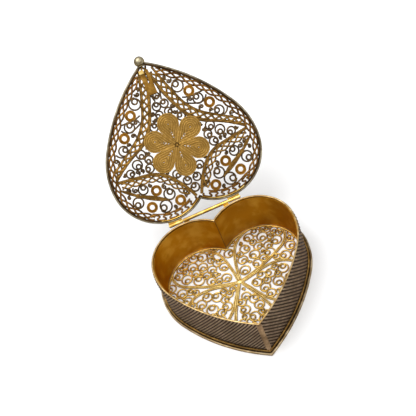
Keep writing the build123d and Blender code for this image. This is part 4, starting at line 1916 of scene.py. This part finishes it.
    def filling(self) -> None:
        """Scrolls between the ribs."""
        work = WireWork("floor_scroll_wires")
        rows = self.right_scrolls + self.left_scrolls + self.middle_scrolls
        for number, row in enumerate(rows):
            work.draw(self.wire, self.wound(number, row), self.level)
        nodes = ("floor_scrolls_upper", "floor_scrolls_lower")
        fit_piece(work.name, work.mesh(), self.bench, FLOOR_GILT, nodes)

    def joining(self, ribs: list[Line]) -> None:
        """Small scrolls in the openings that are left.

        Args:
            ribs: Centre lines of the ribs' wires.
        """
        known = self.right_scrolls + self.left_scrolls + self.middle_scrolls
        discs = [(Vector((across, -down, 0)), radius - 0.25) for across, down, radius, _ in known]
        work = WireWork("floor_joining_scrolls")
        for side in (1, -1):
            lines = ribs if side > 0 else [mirrored(line) for line in ribs]
            sided = [(Vector((side * centre.x, centre.y, 0)), radius) for centre, radius in discs]
            openings = Openings(3.3, lines, sided, least=0.85, most=2.4, overlap=0.75)
            for number, row in enumerate(openings.rows(0.6)):
                line = self.wound(number, row)
                work.draw(self.wire, line if side > 0 else mirrored(line), self.level)
        fit_piece(work.name, work.mesh(), self.bench, FLOOR_GILT)

    def boss(self) -> None:
        """The blob of solder where the ribs cross."""
        work = bmesh.new()
        bmesh.ops.create_icosphere(work, subdivisions=3, radius=1.0)
        bmesh.ops.scale(work, vec=self.solder_size, verts=work.verts)
        crossing = -self.bench.origin.y / MM
        bmesh.ops.translate(work, verts=work.verts, vec=(0, crossing, self.level))
        mesh = finished(work, "solder")
        fit_piece("floor_solder", mesh, self.bench, RIB_GILT, ("floor_boss",))

    def build(self) -> None:
        """Make the floor."""
        ribs = self.ribs()
        self.filling()
        self.joining(ribs)
        self.boss()


@dataclass
class Fittings:
    """Hinge, catch and wall sheets, which keep their shape from the frame."""

    lid: Bench
    box: Bench

    def build(self) -> None:
        """Dress the pieces that the frame already holds."""
        for node in ("wall_left", "wall_right"):
            dress_node(node, WALL_GILT, self.box)
        knuckles = ("hinge_box_knuckle", "hinge_lid_knuckle_left", "hinge_lid_knuckle_right")
        for node in (*knuckles, "hinge_pin"):
            dress_node(node, HINGE_GILT, self.box)
        # the plate's darker gilt is painted shade and the hook's brighter gilt is painted
        # highlight, on one metal
        dress_node("catch_plate", PLATE_SHADE_GILT, self.lid)
        dress_node("catch_hook", CATCH_HIGHLIGHT_GILT, self.lid)


# ---------------------------------------------------------------- the studio


@dataclass(frozen=True)
class Studio:
    """Pale floor, soft lamps and the camera."""

    elevation: float = 50.64
    roll: float = 23.5
    distance: float = 0.3168
    lens: float = 68.5
    shift: tuple[float, float] = (-0.0296, 0.0683)
    aim: Vector = Vector((0, 0.0245, 0))
    sensor: float = 36.0
    sky_strength: float = 0.62
    horizon_glow: float = 0.25
    paper_grey: float = 0.79
    paper_glow: float = 0.17
    ground_half: float = 0.5
    ground_drop: float = 0.00002

    def camera(self) -> None:
        """Place the camera in front of the box, looking down into it."""
        lift, roll = math.radians(self.elevation), math.radians(self.roll)
        back = Vector((0, -math.cos(lift), math.sin(lift)))
        right, up = Vector((1, 0, 0)), Vector((0, math.sin(lift), math.cos(lift)))
        turned_right = right * math.cos(roll) - up * math.sin(roll)
        turned_up = right * math.sin(roll) + up * math.cos(roll)
        data = bpy.data.cameras.new("camera")
        data.lens, data.sensor_width = self.lens, self.sensor
        data.shift_x, data.shift_y = self.shift
        data.clip_start, data.clip_end = 0.01, 10.0
        camera = bpy.data.objects.new("camera", data)
        turn = Matrix((turned_right, turned_up, back)).transposed().to_4x4()
        camera.matrix_world = Matrix.Translation(self.aim + back * self.distance) @ turn
        bpy.context.scene.collection.objects.link(camera)
        bpy.context.scene.camera = camera

    def lamp(self, name: str, place: tuple[float, float, float], size: float, power: float) -> None:
        """A square soft lamp that faces the box.

        Args:
            name: Name of the lamp.
            place: Where it hangs, in metres.
            size: Length of its sides in metres.
            power: Its power in watts.
        """
        data = bpy.data.lights.new(name, "AREA")
        data.shape, data.size, data.energy = "SQUARE", size, power
        lamp = bpy.data.objects.new(name, data)
        spot = Vector(place)
        turn = (self.aim - spot).to_track_quat("-Z", "Y").to_matrix().to_4x4()
        lamp.matrix_world = Matrix.Translation(spot) @ turn
        bpy.context.scene.collection.objects.link(lamp)

    def world(self) -> None:
        """Soft light from above, white where it is seen and dimmer low down in reflections."""
        world = bpy.data.worlds.new("studio")
        bpy.context.scene.world = world
        world.use_nodes = True
        kit = NodeBench(world.node_tree)
        sky = world.node_tree.nodes["Background"]
        sky.inputs["Color"].default_value = (1, 1, 1, 1)
        path = world.node_tree.nodes.new("ShaderNodeLightPath")
        place = world.node_tree.nodes.new("ShaderNodeTexCoord")
        rise = kit.split(place.outputs["Generated"])[2]
        climb = kit.product(kit.step(rise, 0.05, 0.8), 1 - self.horizon_glow)
        glow = kit.sum(climb, self.horizon_glow)
        straight, through = path.outputs["Is Camera Ray"], path.outputs["Is Transmission Ray"]
        seen = kit.math("MAXIMUM", straight, through)
        soft = kit.math("MAXIMUM", seen, kit.product(path.outputs["Is Glossy Ray"], glow))
        kit.link(kit.math("MAXIMUM", soft, self.sky_strength), sky.inputs["Strength"])

    def ground(self) -> None:
        """The pale floor under the box."""
        work = bmesh.new()
        bmesh.ops.create_grid(work, x_segments=1, y_segments=1, size=self.ground_half)
        bmesh.ops.translate(work, verts=work.verts, vec=(0, 0, -self.ground_drop))
        mesh = finished(work, "ground")
        ground = bpy.data.objects.new("ground", mesh)
        bpy.context.scene.collection.objects.link(ground)
        paper = bpy.data.materials.new("pale_paper")
        paper.use_nodes = True
        kit = NodeBench(paper.node_tree)
        shader = paper.node_tree.nodes["Principled BSDF"]
        shader.inputs["Base Color"].default_value = (*[self.paper_grey] * 3, 1)
        shader.inputs["Roughness"].default_value = 0.9
        shader.inputs["Specular IOR Level"].default_value = 0.1
        path = paper.node_tree.nodes.new("ShaderNodeLightPath")
        seen = kit.math("MAXIMUM", path.outputs["Is Camera Ray"], path.outputs["Is Glossy Ray"])
        seen = kit.math("MAXIMUM", seen, path.outputs["Is Transmission Ray"])
        shader.inputs["Emission Color"].default_value = (1, 1, 1, 1)
        kit.link(kit.product(seen, self.paper_glow), shader.inputs["Emission Strength"])
        mesh.materials.append(paper)

    def build(self) -> None:
        """Set up floor, light, camera and view."""
        self.ground()
        self.world()
        self.lamp("key_lamp", (-0.25, 0.1, 0.85), 0.8, 7.0)
        self.lamp("fill_lamp", (0.35, -0.5, 0.6), 0.6, 1.6)
        self.camera()
        bpy.context.scene.view_settings.view_transform = "Standard"


def main() -> None:
    """Build the visible box piece by piece."""
    logging.basicConfig(level=logging.INFO, format="%(message)s")
    lid, box = lid_bench(), box_bench()
    LidFrame(lid).build()
    wires = LidBorder(lid).build() + LidBands(lid).build()
    LidScrolls(lid, wires).build()
    Flower(lid).build()
    BoxWalls(box).build()
    Floor(box).build()
    Fittings(lid, box).build()
    Studio().build()


if __name__ == "__main__":
    main()
